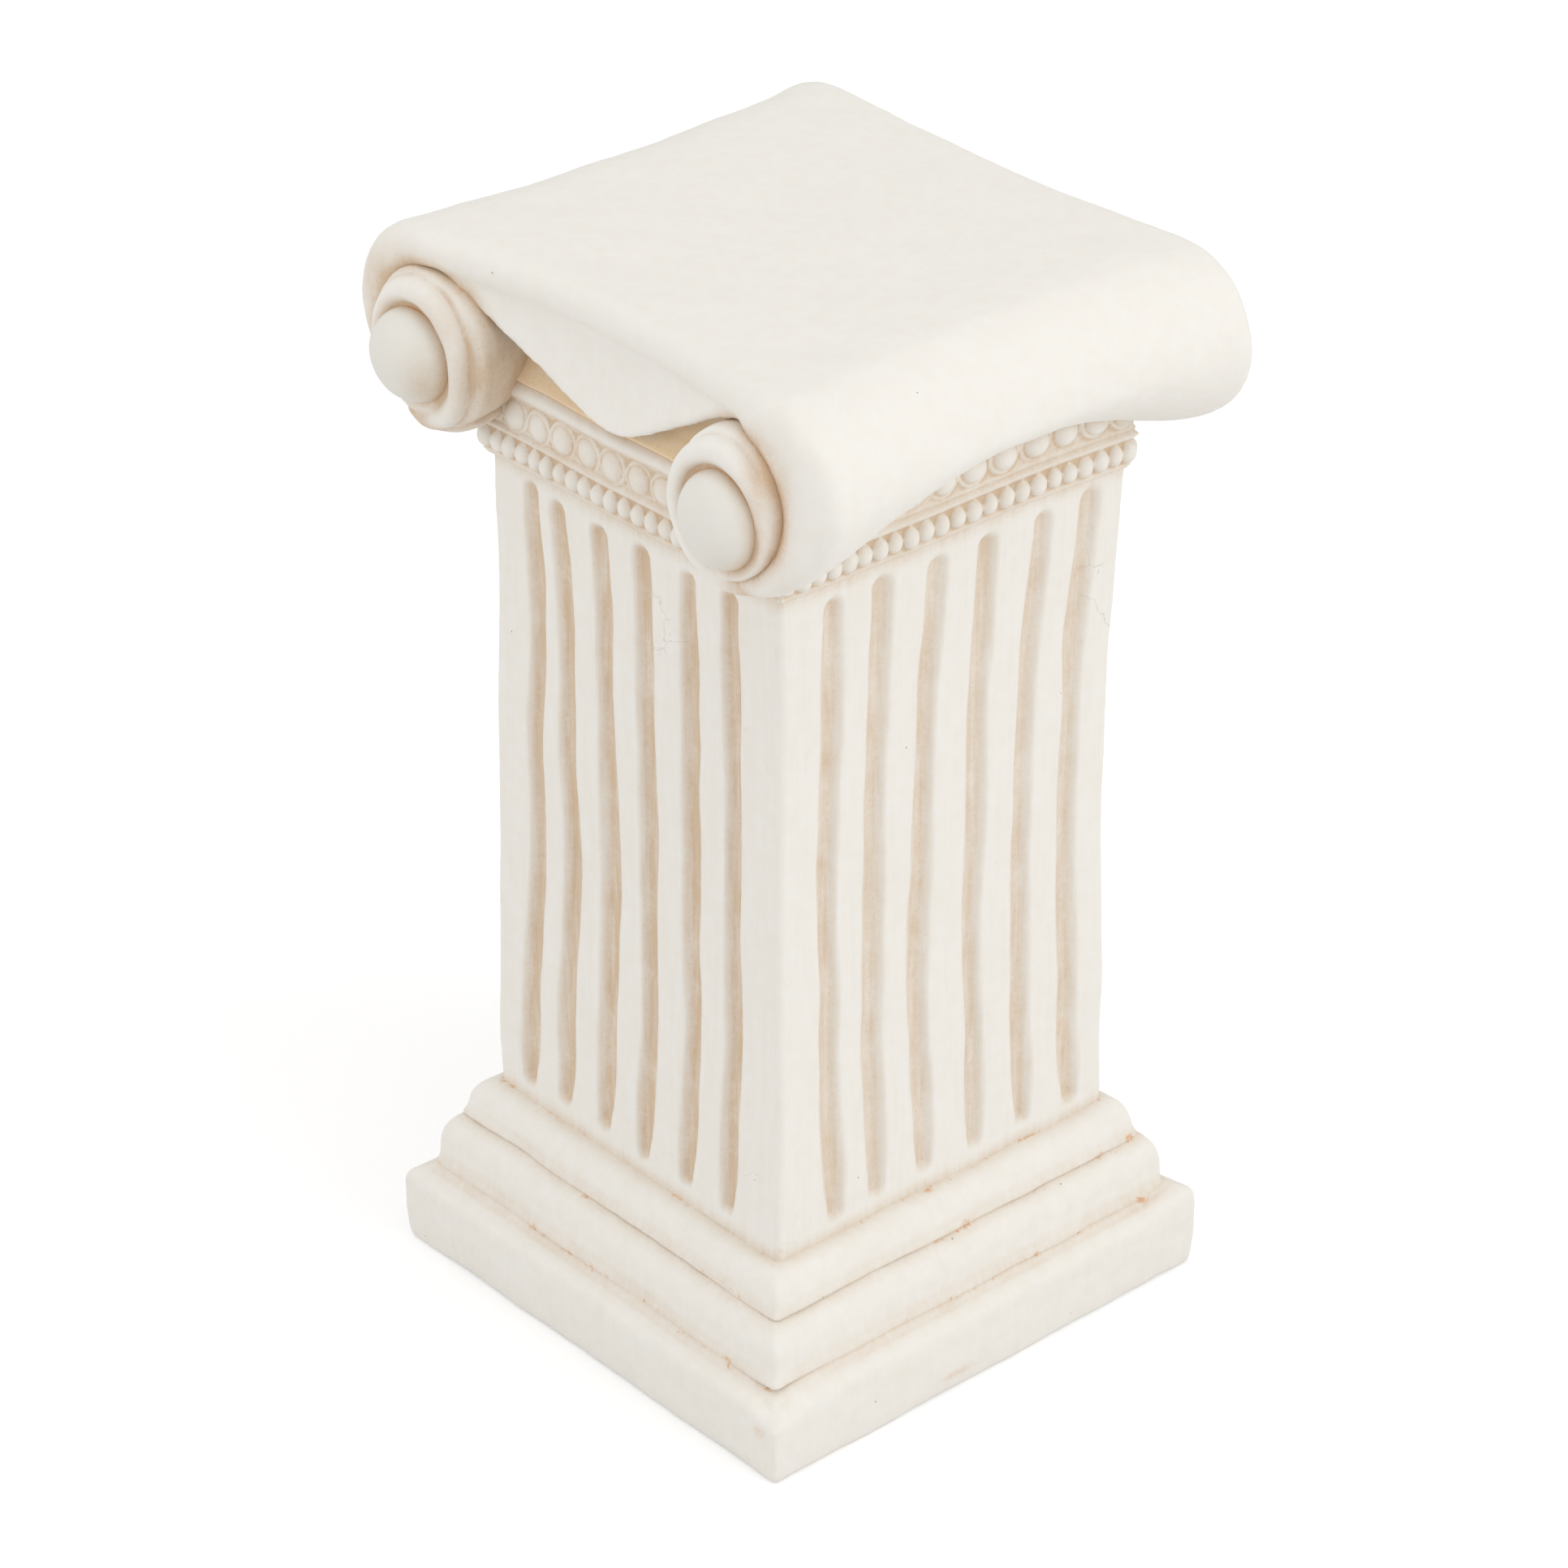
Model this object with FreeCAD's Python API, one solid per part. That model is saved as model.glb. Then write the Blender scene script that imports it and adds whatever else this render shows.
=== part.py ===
import FreeCAD, Part
import math
import os

from FreeCAD import Vector

# Square pedestal stand of cast plaster in the Ionic manner: plinth, two base mouldings, a fluted
# square shaft, a bead course and an egg course round the neck, and a capital like a thick sheet
# rolled into two scrolls.  Plaster sections are bedded on each other round four softwood battens,
# which a plywood board holds at the foot and another at the head.
# Millimetres.  +Z is up, the floor is z = 0, the axis of the shaft is x = y = 0, and the front,
# where two scroll ends show, looks along -Y.

# Fits
bed_gap = 0.3              # gap left between a rounded or slipped-in piece and its seat
screw_gap = 0.2            # hole radius over screw or dowel radius

# Foot
plinth_width = 254.0
plinth_height = 41.5       # up to the crease under the lower moulding
plinth_ridge_drop = 3.5    # the top of the plinth falls this much towards its outer edge
plinth_edge_round = 4.0    # rounding of the plinth's top edge
plinth_foot_tuck = 3.0     # the sides draw in this much at the floor
plinth_tuck_height = 15.0
plinth_corner_round = 6.0
plinth_deck = 14.0         # thickness of the plinth over its hollow
board_rebate_rim = 11.0    # width of the rim left round the base board
board_ledge = 5.5          # width of the ledge that the base board bears on
base_board_thickness = 8.0
base_board_lift = 2.0      # the board stays this far off the floor

# Base mouldings
lower_torus_width = 231.0
lower_torus_height = 27.5
lower_torus_shoulder = 13.0   # width of its quarter round
upper_torus_width = 211.0
upper_torus_height = 17.5
upper_torus_shoulder = 9.0
torus_corner_round = 6.0
register_height = 4.0      # raised lip that locates the section above
register_width = 5.0

# Shaft
shaft_width = 188.0
shaft_clear_height = 315.5     # from the base mouldings to the bead course
shaft_wall = 18.0
shaft_corner_round = 6.0
flute_count = 6
flute_pitch = 26.0
flute_width = 12.4
flute_depth = 4.5
flute_foot_margin = 6.5
flute_head_margin = 3.0
batten_width = 20.0
head_board_thickness = 12.0

# Neck courses, planted on the shaft
bead_course_height = 22.0
bead_course_proud = 3.0
bead_fillet_height = 3.0       # plain strip under the beads
bead_ledge_height = 4.0        # plain strip over the beads
bead_ledge_proud = 6.0
bead_count = 23
bead_radius = 3.8
egg_course_height = 14.0
egg_course_proud = 3.0
egg_count = 12
egg_radius = 5.4
egg_length = 12.6
dart_radius = 1.2
cap_moulding_height = 8.5
cap_moulding_proud = 6.5
cap_corner_round = 6.0

# Capital
neck_block_height = 43.8
neck_hollow_inset = 22.0       # its hollow keeps this far inside the bore of the shaft
neck_corner_round = 5.0
sheet_thickness = 17.7
sheet_depth = 227.0            # front to back, at the scrolls
sheet_edge_sag = 13.0          # the front edge curves in this much
sheet_back_sag = 4.0           # the back edge curves in less
sheet_side_round = 39.4        # radius where the top turns down over a scroll
sheet_lip = 2.4                # thickness of the sheet where it ends under a scroll
scroll_spacing = 194.0         # between the axes of the two scrolls
scroll_end_radius = 36.7
scroll_waist_radius = 21.0
scroll_barrel = 190.0          # length of the waisted stretch
scroll_length = 256.0          # over the rims
scroll_side_waist = 9.0        # the outer side draws in this much at mid-length
rim_width = 13.2               # fat rim round each eye
eye_radius = 21.5
eye_height = 20.0
eye_peg_radius = 6.0
eye_peg_length = 14.0
flap_half_width = 84.0
flap_drop = 60.5               # from the top of the sheet to the tip
flap_side_drop = 26.0          # from the top to the flap's edge beside a scroll
flap_thickness = 9.0
flap_hollow = 2.0              # the flap draws in under its top edge
flap_flare = 6.0               # the tip stands out past the hollow
flap_tip_round = 14.0
flap_clearance = 1.5           # between the flap, where it draws in, and the neck block

# Fasteners
screw_radius = 2.0
screw_head_radius = 4.0
screw_head_depth = 2.6
screw_grip = 26.0              # length in the batten
dowel_radius = 6.0
dowel_reach = 12.0             # length in each piece that a dowel joins

# Levels, from the floor up
z_plinth = plinth_height
z_lower = z_plinth + lower_torus_height
z_shaft = z_lower + upper_torus_height
z_beads = z_shaft + shaft_clear_height
z_eggs = z_beads + bead_course_height
z_cap = z_eggs + egg_course_height
z_neck = z_cap + cap_moulding_height
z_sheet = z_neck + neck_block_height
z_top = z_sheet + sheet_thickness
z_scroll = z_sheet - bed_gap - scroll_end_radius

# Half-widths shared by neighbours
shaft_half = shaft_width / 2
bore_half = shaft_half - shaft_wall
batten_out = bore_half - bed_gap
batten_in = batten_out - batten_width
batten_mid = (batten_out + batten_in) / 2
board_half = plinth_width / 2 - plinth_foot_tuck - board_rebate_rim
neck_proud = max(bead_ledge_proud, bead_course_proud + bead_radius, egg_course_proud + egg_radius,
                 cap_moulding_proud)
neck_half = sheet_depth / 2 - sheet_edge_sag - flap_hollow - flap_thickness - flap_clearance
dowel_mid = bore_half - neck_hollow_inset / 2
scroll_x = scroll_spacing / 2
eye_seat = scroll_length / 2 - rim_width / 2

SIDES = ("front", "right", "back", "left")


def chain(start, *moves):
    """Edges in the plane x = 0 from (out, z) points; a move is (end,) or (middle, end) of an arc."""
    edges = []
    here = start
    for move in moves:
        ends = [Vector(0, -out, z) for out, z in (here,) + move]
        if len(ends) == 2:
            edges.append(Part.LineSegment(*ends).toShape())
        else:
            edges.append(Part.Arc(*ends).toShape())
        here = move[-1]
    return edges


def arc_point(centre, across, up, degrees):
    """Point on an ellipse in (out, z), at an angle from the outward axis."""
    turn = math.radians(degrees)
    return (centre[0] + across * math.cos(turn), centre[1] + up * math.sin(turn))


def quarter(centre, across, up):
    """Move along a quarter round from the outward end to the upper end."""
    return (arc_point(centre, across, up, 45), arc_point(centre, across, up, 90))


def dome(radius, height):
    """Move over a domed end, from its rim up to its middle, on one sphere."""
    ball = (radius ** 2 + height ** 2) / (2 * height)
    half_turn = math.atan2(radius, ball - height) / 2
    middle = (ball * math.sin(half_turn), height - ball + ball * math.cos(half_turn))
    return (middle, (0, height))


def square_block(start, moves, corner_half):
    """Square block with rounded corners: an outline in (out, z) run along four sides."""
    low = (corner_half, start[1])
    high = (corner_half, moves[-1][-1][1])
    edges = chain(low, (start,), *moves, (high,), (low,))
    face = Part.Face(Part.Wire(edges))
    side = face.translated(Vector(-corner_half, 0, 0)).extrude(Vector(2 * corner_half, 0, 0))
    at_corner = face.translated(Vector(corner_half, 0, 0))
    corner = at_corner.revolve(Vector(corner_half, -corner_half, 0), Vector(0, 0, 1), 90)
    core = Part.makeBox(2 * corner_half, 2 * corner_half, high[1] - low[1],
                        Vector(-corner_half, -corner_half, low[1]))
    pieces = []
    for turn in range(4):
        pieces += [turned(side, turn), turned(corner, turn)]
    return core.multiFuse(pieces).removeSplitter()


def straight_block(half, low, high, corner_round):
    """Upright square block with rounded corners."""
    return square_block((half, low), [((half, high),)], half - corner_round)


def box(half, low, high):
    """Upright square block with sharp corners."""
    return Part.makeBox(2 * half, 2 * half, high - low, Vector(-half, -half, low))


def square_wire(half, level):
    """Closed square outline at a level."""
    corners = [(-half, -half), (half, -half), (half, half), (-half, half), (-half, -half)]
    return Part.makePolygon([Vector(x, y, level) for x, y in corners])


def turned(shape, quarters):
    """Copy turned about the upright axis: 0 front, 1 right, 2 back, 3 left."""
    copy = shape.copy()
    copy.rotate(Vector(0, 0, 0), Vector(0, 0, 1), 90 * quarters)
    return copy


def front_quarter(shape):
    """What lies between the two mitre planes of the front."""
    reach = plinth_width
    corners = [Vector(0, 0, 0), Vector(-reach, -reach, 0), Vector(reach, -reach, 0), Vector(0, 0, 0)]
    wedge = Part.Face(Part.makePolygon(corners)).extrude(Vector(0, 0, z_top))
    return shape.common(wedge).removeSplitter()


def register(level, gap):
    """Square lip that stands on a section, or with a gap the groove that takes it."""
    outer = bore_half + register_width + gap
    lip = box(outer, level, level + register_height + gap)
    return lip.cut(box(bore_half, level, level + register_height + gap))


def corners_at(half):
    """The four corners of a square in plan."""
    return [(sx * half, sy * half) for sx in (-1, 1) for sy in (-1, 1)]


def make_plinth():
    half = plinth_width / 2
    ridge = z_plinth - plinth_ridge_drop
    rim = (half - plinth_edge_round, ridge - plinth_edge_round)
    outline = [((half - plinth_foot_tuck / 4, plinth_tuck_height / 2), (half, plinth_tuck_height)),
               ((half, rim[1]),),
               quarter(rim, plinth_edge_round, plinth_edge_round)]
    block = square_block((half - plinth_foot_tuck, 0), outline,
                         half - plinth_foot_tuck - plinth_corner_round)
    crown = Part.makeLoft([square_wire(rim[0], ridge), square_wire(lower_torus_width / 2, z_plinth)],
                          True, True)
    block = block.multiFuse([crown, register(z_plinth, 0)])
    hollow_top = z_plinth - plinth_deck
    board_top = base_board_lift + base_board_thickness
    block = block.cut(box(board_half + bed_gap, 0, board_top))
    block = block.cut(box(board_half - board_ledge, board_top, hollow_top))
    return block.cut(box(bore_half, 0, z_top)).removeSplitter()


def make_torus(low, high, width, width_above, shoulder):
    """Base moulding: upright below, quarter round above, bored for the battens."""
    half = width / 2
    shoulder_low = high - shoulder
    centre = (half - shoulder, shoulder_low)
    outline = [((half, shoulder_low),), quarter(centre, shoulder, shoulder)]
    if half - shoulder > width_above / 2:
        outline.append(((width_above / 2, high),))
    block = square_block((half, low), outline, half - shoulder - torus_corner_round)
    block = block.fuse(register(high, 0))
    block = block.cut(box(bore_half, low, z_top))
    return block.cut(register(low, bed_gap)).removeSplitter()


def flute_tool(x, low, high):
    """Round-ended groove cutter standing in front of the shaft's front face."""
    radius = (flute_width ** 2 / 4 + flute_depth ** 2) / (2 * flute_depth)
    y = -shaft_half - (radius - flute_depth)
    tip = math.sqrt(radius ** 2 - (radius - flute_depth) ** 2)
    bottom = Vector(x, y, low + tip)
    top = Vector(x, y, high - tip)
    rod = Part.makeCylinder(radius, top.z - bottom.z, bottom)
    return rod.multiFuse([Part.makeSphere(radius, bottom), Part.makeSphere(radius, top)])


def make_front_panel():
    """Fluted wall of the shaft, mitred to its neighbours."""
    ring = straight_block(shaft_half, z_shaft, z_neck, shaft_corner_round)
    ring = ring.cut(box(bore_half, z_shaft, z_neck))
    ring = ring.cut(register(z_shaft, bed_gap))
    panel = front_quarter(ring)
    first = -(flute_count - 1) / 2 * flute_pitch
    low = z_shaft + flute_foot_margin
    high = z_beads - flute_head_margin
    flutes = [flute_tool(first + place * flute_pitch, low, high) for place in range(flute_count)]
    return panel.cut(flutes).removeSplitter()


def make_front_beads():
    """Bead course of one side: fillet, row of beads and ledge on one strip."""
    face = shaft_half + bead_course_proud
    ledge = shaft_half + bead_ledge_proud
    ledge_low = z_eggs - bead_ledge_height
    outline = [((face, ledge_low),), ((ledge, ledge_low),), ((ledge, z_eggs),)]
    ring = square_block((face, z_beads), outline, face - shaft_corner_round)
    ring = ring.cut(box(shaft_half, z_beads, z_eggs))
    row_z = (z_beads + bead_fillet_height + ledge_low) / 2
    pitch = 2 * face / bead_count
    first = -(bead_count - 1) / 2 * pitch
    beads = [Part.makeSphere(bead_radius, Vector(first + place * pitch, -face, row_z))
             for place in range(bead_count)]
    strip = front_quarter(ring).multiFuse(beads)
    return front_quarter(strip.cut(box(shaft_half, z_beads, z_eggs)))


def egg_at(x, out, z):
    """One egg: a short upright rod with round ends."""
    half_rod = egg_length / 2 - egg_radius
    edges = chain((0, z - half_rod - egg_radius),
                  (arc_point((0, z - half_rod), egg_radius, egg_radius, -45), (egg_radius, z - half_rod)),
                  ((egg_radius, z + half_rod),),
                  quarter((0, z + half_rod), egg_radius, egg_radius),
                  ((0, z - half_rod - egg_radius),))
    egg = Part.Face(Part.Wire(edges)).revolve(Vector(0, 0, 0), Vector(0, 0, 1), 360)
    return egg.translated(Vector(x, -out, 0))


def make_front_eggs():
    """Egg course of one side: eggs with a dart between each pair, on one strip."""
    face = shaft_half + egg_course_proud
    ring = straight_block(face, z_eggs, z_cap, shaft_corner_round)
    ring = ring.cut(box(shaft_half, z_eggs, z_cap))
    pitch = 2 * face / egg_count
    first = -(egg_count - 1) / 2 * pitch
    row_z = (z_eggs + z_cap) / 2
    pieces = [egg_at(first + place * pitch, face, row_z) for place in range(egg_count)]
    for place in range(egg_count - 1):
        foot = Vector(first + (place + 0.5) * pitch, -face, z_eggs)
        pieces.append(Part.makeCylinder(dart_radius, egg_course_height, foot))
    strip = front_quarter(ring).multiFuse(pieces)
    return front_quarter(strip.cut(box(shaft_half, z_eggs, z_cap)))


def make_cap_moulding():
    """Half-round moulding over the eggs, a square ring round the head of the shaft."""
    half = shaft_half + cap_moulding_proud
    rise = cap_moulding_height / 2
    middle = (half - rise, z_cap + rise)
    outline = [(arc_point(middle, rise, rise, -45), (half, middle[1])), quarter(middle, rise, rise)]
    ring = square_block((middle[0], z_cap), outline, half - rise - cap_corner_round)
    return ring.cut(box(shaft_half, z_cap, z_neck)).removeSplitter()


def dowel_holes(level, gap):
    """Four upright dowels centred on a joint, one for each side, or with a gap their holes."""
    foot = Vector(0, -dowel_mid, level - dowel_reach - gap)
    dowel = Part.makeCylinder(dowel_radius + gap, 2 * (dowel_reach + gap), foot)
    return [turned(dowel, quarters) for quarters in range(4)]


def make_neck_block():
    """Hollow block between the neck courses and the sheet, set back behind both."""
    block = straight_block(neck_half, z_neck, z_sheet, neck_corner_round)
    block = block.cut(box(bore_half - neck_hollow_inset, z_neck, z_sheet))
    return block.cut(dowel_holes(z_neck, screw_gap) + dowel_holes(z_sheet, screw_gap)).removeSplitter()


def neck_envelope():
    """Space that the neck and its courses take, with the gap that the capital leaves round them."""
    courses = box(shaft_half + neck_proud + bed_gap, z_beads - bed_gap, z_neck + bed_gap)
    return courses.fuse(box(neck_half + bed_gap, z_neck, z_sheet))


def waist_depth(y):
    """How far the scroll's barrel draws in at a place along it."""
    sag = scroll_end_radius - scroll_waist_radius
    half = scroll_barrel / 2
    bend = (half ** 2 + sag ** 2) / (2 * sag)
    if abs(y) >= half:
        return 0.0
    return sag - (bend - math.sqrt(bend ** 2 - y ** 2))


def make_right_scroll(gap):
    """Waisted roll along Y with a fat rim at each end; with a gap, the bore that takes it."""
    end = scroll_end_radius + gap
    waist = scroll_waist_radius + gap
    barrel = scroll_barrel / 2
    if gap:
        far = scroll_length
        points = [((end, far),), ((0, far),), ((0, -far),), ((end, -far),), ((end, -barrel),)]
    else:
        rim = rim_width / 2
        crest = eye_seat + rim
        inner = end - rim_width
        points = [((end, eye_seat),),
                  ((end - rim, crest), (inner, eye_seat)),
                  ((0, eye_seat),), ((0, -eye_seat),), ((inner, -eye_seat),),
                  ((end - rim, -crest), (end, -eye_seat)),
                  ((end, -barrel),)]
    edges = chain((end, -barrel), ((waist, 0), (end, barrel)), *points)
    roll = Part.Face(Part.Wire(edges)).revolve(Vector(0, 0, 0), Vector(0, 0, 1), 360)
    roll.rotate(Vector(0, 0, 0), Vector(1, 0, 0), 90)
    return roll.translated(Vector(scroll_x, 0, z_scroll))


def make_scroll(side):
    """One scroll, notched over the neck, with a socket for each eye."""
    roll = make_right_scroll(0).cut(neck_envelope())
    depth = eye_peg_length + screw_gap
    radius = eye_peg_radius + screw_gap
    for facing in (-1, 1):
        mouth = Vector(scroll_x, facing * eye_seat, z_scroll)
        roll = roll.cut(Part.makeCylinder(radius, depth, mouth, Vector(0, -facing, 0)))
    return turned(roll, 0 if side == "right" else 2)


def make_eye(side, end):
    """Domed eye with the peg that holds it in the scroll's end."""
    across = scroll_x if side == "right" else -scroll_x
    facing = -1 if end == "front" else 1
    edges = chain((0, -eye_peg_length), ((eye_peg_radius, -eye_peg_length),), ((eye_peg_radius, 0),),
                  ((eye_radius, 0),), dome(eye_radius, eye_height), ((0, -eye_peg_length),))
    eye = Part.Face(Part.Wire(edges)).revolve(Vector(0, 0, 0), Vector(0, 0, 1), 360)
    eye.rotate(Vector(0, 0, 0), Vector(1, 0, 0), -90 * facing)
    return eye.translated(Vector(across, facing * eye_seat, z_scroll))


def wrap_section(y):
    """Cross-section of the sheet past the axis of a scroll: flat top, turned down and in under it."""
    draw = waist_depth(y)
    share = draw / (scroll_end_radius - scroll_waist_radius)
    out = scroll_x + scroll_end_radius + bed_gap + sheet_thickness - scroll_side_waist * share
    lip_z = z_scroll - scroll_end_radius - bed_gap - sheet_lip + draw
    turn_z = z_top - sheet_side_round
    flat = out - sheet_side_round
    shoulder = arc_point((flat, turn_z), sheet_side_round, sheet_side_round, 45)
    belly = arc_point((scroll_x, turn_z), out - scroll_x, turn_z - lip_z, -45)
    outline = [(scroll_x, z_top), (flat, z_top), shoulder, (out, turn_z), belly, (scroll_x, lip_z)]
    points = [Vector(across, y, z) for across, z in outline]
    edges = [Part.LineSegment(points[0], points[1]), Part.Arc(*points[1:4]), Part.Arc(*points[3:6]),
             Part.LineSegment(points[5], points[0])]
    return Part.Wire([edge.toShape() for edge in edges])


def sheet_plan():
    """Plan of the sheet between floor and top: straight at the scrolls, front and back curved in."""
    deep = sheet_depth / 2
    wide = scroll_x + scroll_end_radius + 2 * sheet_thickness
    edges = []
    for facing, sag in ((-1, sheet_edge_sag), (1, sheet_back_sag)):
        start = Vector(facing * scroll_x, facing * deep, 0)
        middle = Vector(0, facing * (deep - sag), 0)
        end = Vector(-facing * scroll_x, facing * deep, 0)
        corner = Vector(-facing * wide, facing * deep, 0)
        edges += [Part.Arc(start, middle, end), Part.LineSegment(end, corner),
                  Part.LineSegment(corner, Vector(corner.x, -corner.y, 0)),
                  Part.LineSegment(Vector(corner.x, -corner.y, 0), Vector(end.x, -end.y, 0))]
    wire = Part.Wire([edge.toShape() for edge in edges])
    return Part.Face(wire).extrude(Vector(0, 0, z_top))


def make_front_flap():
    """Tongue of the sheet that hangs between the scrolls, hollowed and flared to a lip."""
    top = z_top - sheet_thickness / 2
    tip = z_top - flap_drop
    side = z_top - flap_side_drop
    front = sheet_depth / 2 - sheet_edge_sag
    mid = (top + tip) / 2
    hollow = front - flap_hollow
    lip = hollow + flap_flare
    back = hollow - flap_thickness
    edges = chain((front, top), ((hollow, mid), (lip, tip)), ((lip - flap_thickness, tip),),
                  ((back, mid), (front - flap_thickness, top)), ((front, top),))
    profile = Part.Face(Part.Wire(edges))
    profile = profile.translated(Vector(-flap_half_width, 0, 0))
    drape = profile.extrude(Vector(2 * flap_half_width, 0, 0))
    slope = math.atan2(side - tip, flap_half_width)
    bend_x = flap_tip_round * math.sin(slope)
    bend_z = tip + bend_x * math.tan(slope)
    lowest = bend_z - flap_tip_round * (1 - math.cos(slope))
    left_bend = Vector(-bend_x, 0, bend_z)
    right_bend = Vector(bend_x, 0, bend_z)
    corners = [right_bend, Vector(flap_half_width, 0, side), Vector(flap_half_width, 0, top),
               Vector(-flap_half_width, 0, top), Vector(-flap_half_width, 0, side), left_bend]
    bend = Part.Arc(left_bend, Vector(0, 0, lowest), right_bend).toShape()
    outline = Part.Wire(Part.makePolygon(corners).Edges + [bend])
    return drape.common(Part.Face(outline).extrude(Vector(0, -sheet_depth, 0)))


def make_sheet():
    """Rolled sheet of the capital, with a flap at the front and the back."""
    deep = sheet_depth / 2
    places = [deep * step / 3 for step in range(-3, 4)]
    wrap = Part.makeLoft([wrap_section(y) for y in places], True, False)
    slab = Part.makeBox(2 * scroll_x, sheet_depth, sheet_thickness, Vector(-scroll_x, -deep, z_sheet))
    sheet = slab.multiFuse([wrap, turned(wrap, 2)]).common(sheet_plan())
    flap = make_front_flap()
    back_flap = turned(flap, 2).translated(Vector(0, sheet_edge_sag - sheet_back_sag, 0))
    sheet = sheet.multiFuse([flap, back_flap])
    bore = make_right_scroll(bed_gap)
    return sheet.cut([bore, turned(bore, 2), neck_envelope()] + dowel_holes(z_sheet, screw_gap))


def make_base_board():
    board = box(board_half, base_board_lift, base_board_lift + base_board_thickness)
    return board.cut(screws_up(screw_gap))


def make_head_board():
    board = box(batten_out, z_neck - head_board_thickness, z_neck)
    return board.cut(screws_down(screw_gap) + dowel_holes(z_neck, screw_gap))


def make_batten(x, y):
    """Softwood batten behind one mitre of the shaft."""
    low = base_board_lift + base_board_thickness
    high = z_neck - head_board_thickness
    batten = Part.makeBox(batten_width, batten_width, high - low,
                          Vector(x - batten_width / 2, y - batten_width / 2, low))
    return batten.cut(screws_up(screw_gap) + screws_down(screw_gap))


def screw(foot, facing, board, gap):
    """Countersunk wood screw entering at foot, or with a gap its hole."""
    way = Vector(0, 0, facing)
    head = Part.makeCone(screw_head_radius + gap, screw_radius + gap, screw_head_depth, foot, way)
    shank = Part.makeCylinder(screw_radius + gap, board + screw_grip + gap, foot, way)
    return head.fuse(shank)


def screws_up(gap):
    """Screws through the base board into the battens."""
    return [screw(Vector(x, y, base_board_lift), 1, base_board_thickness, gap)
            for x, y in corners_at(batten_mid)]


def screws_down(gap):
    """Screws through the head board into the battens."""
    return [screw(Vector(x, y, z_neck), -1, head_board_thickness, gap)
            for x, y in corners_at(batten_mid)]


def pieces():
    """Every piece of the pedestal under its name."""
    yield "plinth", make_plinth()
    yield "base_torus_lower", make_torus(z_plinth, z_lower, lower_torus_width, upper_torus_width,
                                         lower_torus_shoulder)
    yield "base_torus_upper", make_torus(z_lower, z_shaft, upper_torus_width, shaft_width,
                                         upper_torus_shoulder)
    for name, maker in (("shaft_panel", make_front_panel), ("bead_course", make_front_beads),
                        ("egg_course", make_front_eggs)):
        front = maker()
        for quarters, side in enumerate(SIDES):
            yield name + "_" + side, turned(front, quarters)
    yield "cap_moulding", make_cap_moulding()
    yield "neck_block", make_neck_block()
    yield "capital_sheet", make_sheet()
    for side in ("left", "right"):
        yield "scroll_roll_" + side, make_scroll(side)
        for end in ("front", "back"):
            yield "volute_eye_" + end + "_" + side, make_eye(side, end)
    for x, y in corners_at(batten_mid):
        place = ("front" if y < 0 else "back") + "_" + ("left" if x < 0 else "right")
        yield "corner_batten_" + place, make_batten(x, y)
    yield "base_board", make_base_board()
    yield "head_board", make_head_board()
    yield "base_board_screws", Part.makeCompound(screws_up(0))
    yield "head_board_screws", Part.makeCompound(screws_down(0))
    yield "neck_dowels", Part.makeCompound(dowel_holes(z_neck, 0))
    yield "sheet_dowels", Part.makeCompound(dowel_holes(z_sheet, 0))


os.makedirs("parts", exist_ok=True)
for node, shape in pieces():
    shape.exportStep("parts/" + node + ".step")
    print(node, len(shape.Solids), "solid(s)", round(shape.Volume / 1000, 1), "cm3",
          "valid" if shape.isValid() else "INVALID")
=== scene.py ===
"""Square pedestal stand of cast plaster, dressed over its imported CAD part."""

import math

import bmesh
import bpy
import numpy as np
from bpy.props import FloatProperty, FloatVectorProperty, IntProperty, PointerProperty
from bpy.types import Operator, Panel, PropertyGroup
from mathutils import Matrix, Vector
from mathutils.bvhtree import BVHTree


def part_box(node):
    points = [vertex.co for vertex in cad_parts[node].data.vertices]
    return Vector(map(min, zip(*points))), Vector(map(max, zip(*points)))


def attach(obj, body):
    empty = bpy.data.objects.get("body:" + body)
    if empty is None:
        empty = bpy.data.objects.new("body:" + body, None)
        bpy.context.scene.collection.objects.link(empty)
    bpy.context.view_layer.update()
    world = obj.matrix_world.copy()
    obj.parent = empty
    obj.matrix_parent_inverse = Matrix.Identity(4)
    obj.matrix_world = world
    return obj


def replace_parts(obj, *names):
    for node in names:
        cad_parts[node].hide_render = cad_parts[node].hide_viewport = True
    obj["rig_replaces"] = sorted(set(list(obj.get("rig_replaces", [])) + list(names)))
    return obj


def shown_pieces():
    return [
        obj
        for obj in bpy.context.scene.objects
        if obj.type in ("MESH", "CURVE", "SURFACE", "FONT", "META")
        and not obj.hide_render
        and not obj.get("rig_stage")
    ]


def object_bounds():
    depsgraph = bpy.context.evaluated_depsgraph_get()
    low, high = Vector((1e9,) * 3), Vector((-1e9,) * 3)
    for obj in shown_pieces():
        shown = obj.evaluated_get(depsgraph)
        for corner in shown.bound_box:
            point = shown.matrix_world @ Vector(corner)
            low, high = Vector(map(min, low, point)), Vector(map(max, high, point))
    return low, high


bl_info = {
    "name": "Ionic pedestal stand",
    "version": (1, 0, 0),
    "blender": (4, 5, 0),
    "location": "3D View > Sidebar > Pedestal",
    "description": "Cast plaster pedestal: plinth, fluted shaft, beaded neck and rolled capital",
    "category": "Object",
}

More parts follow.
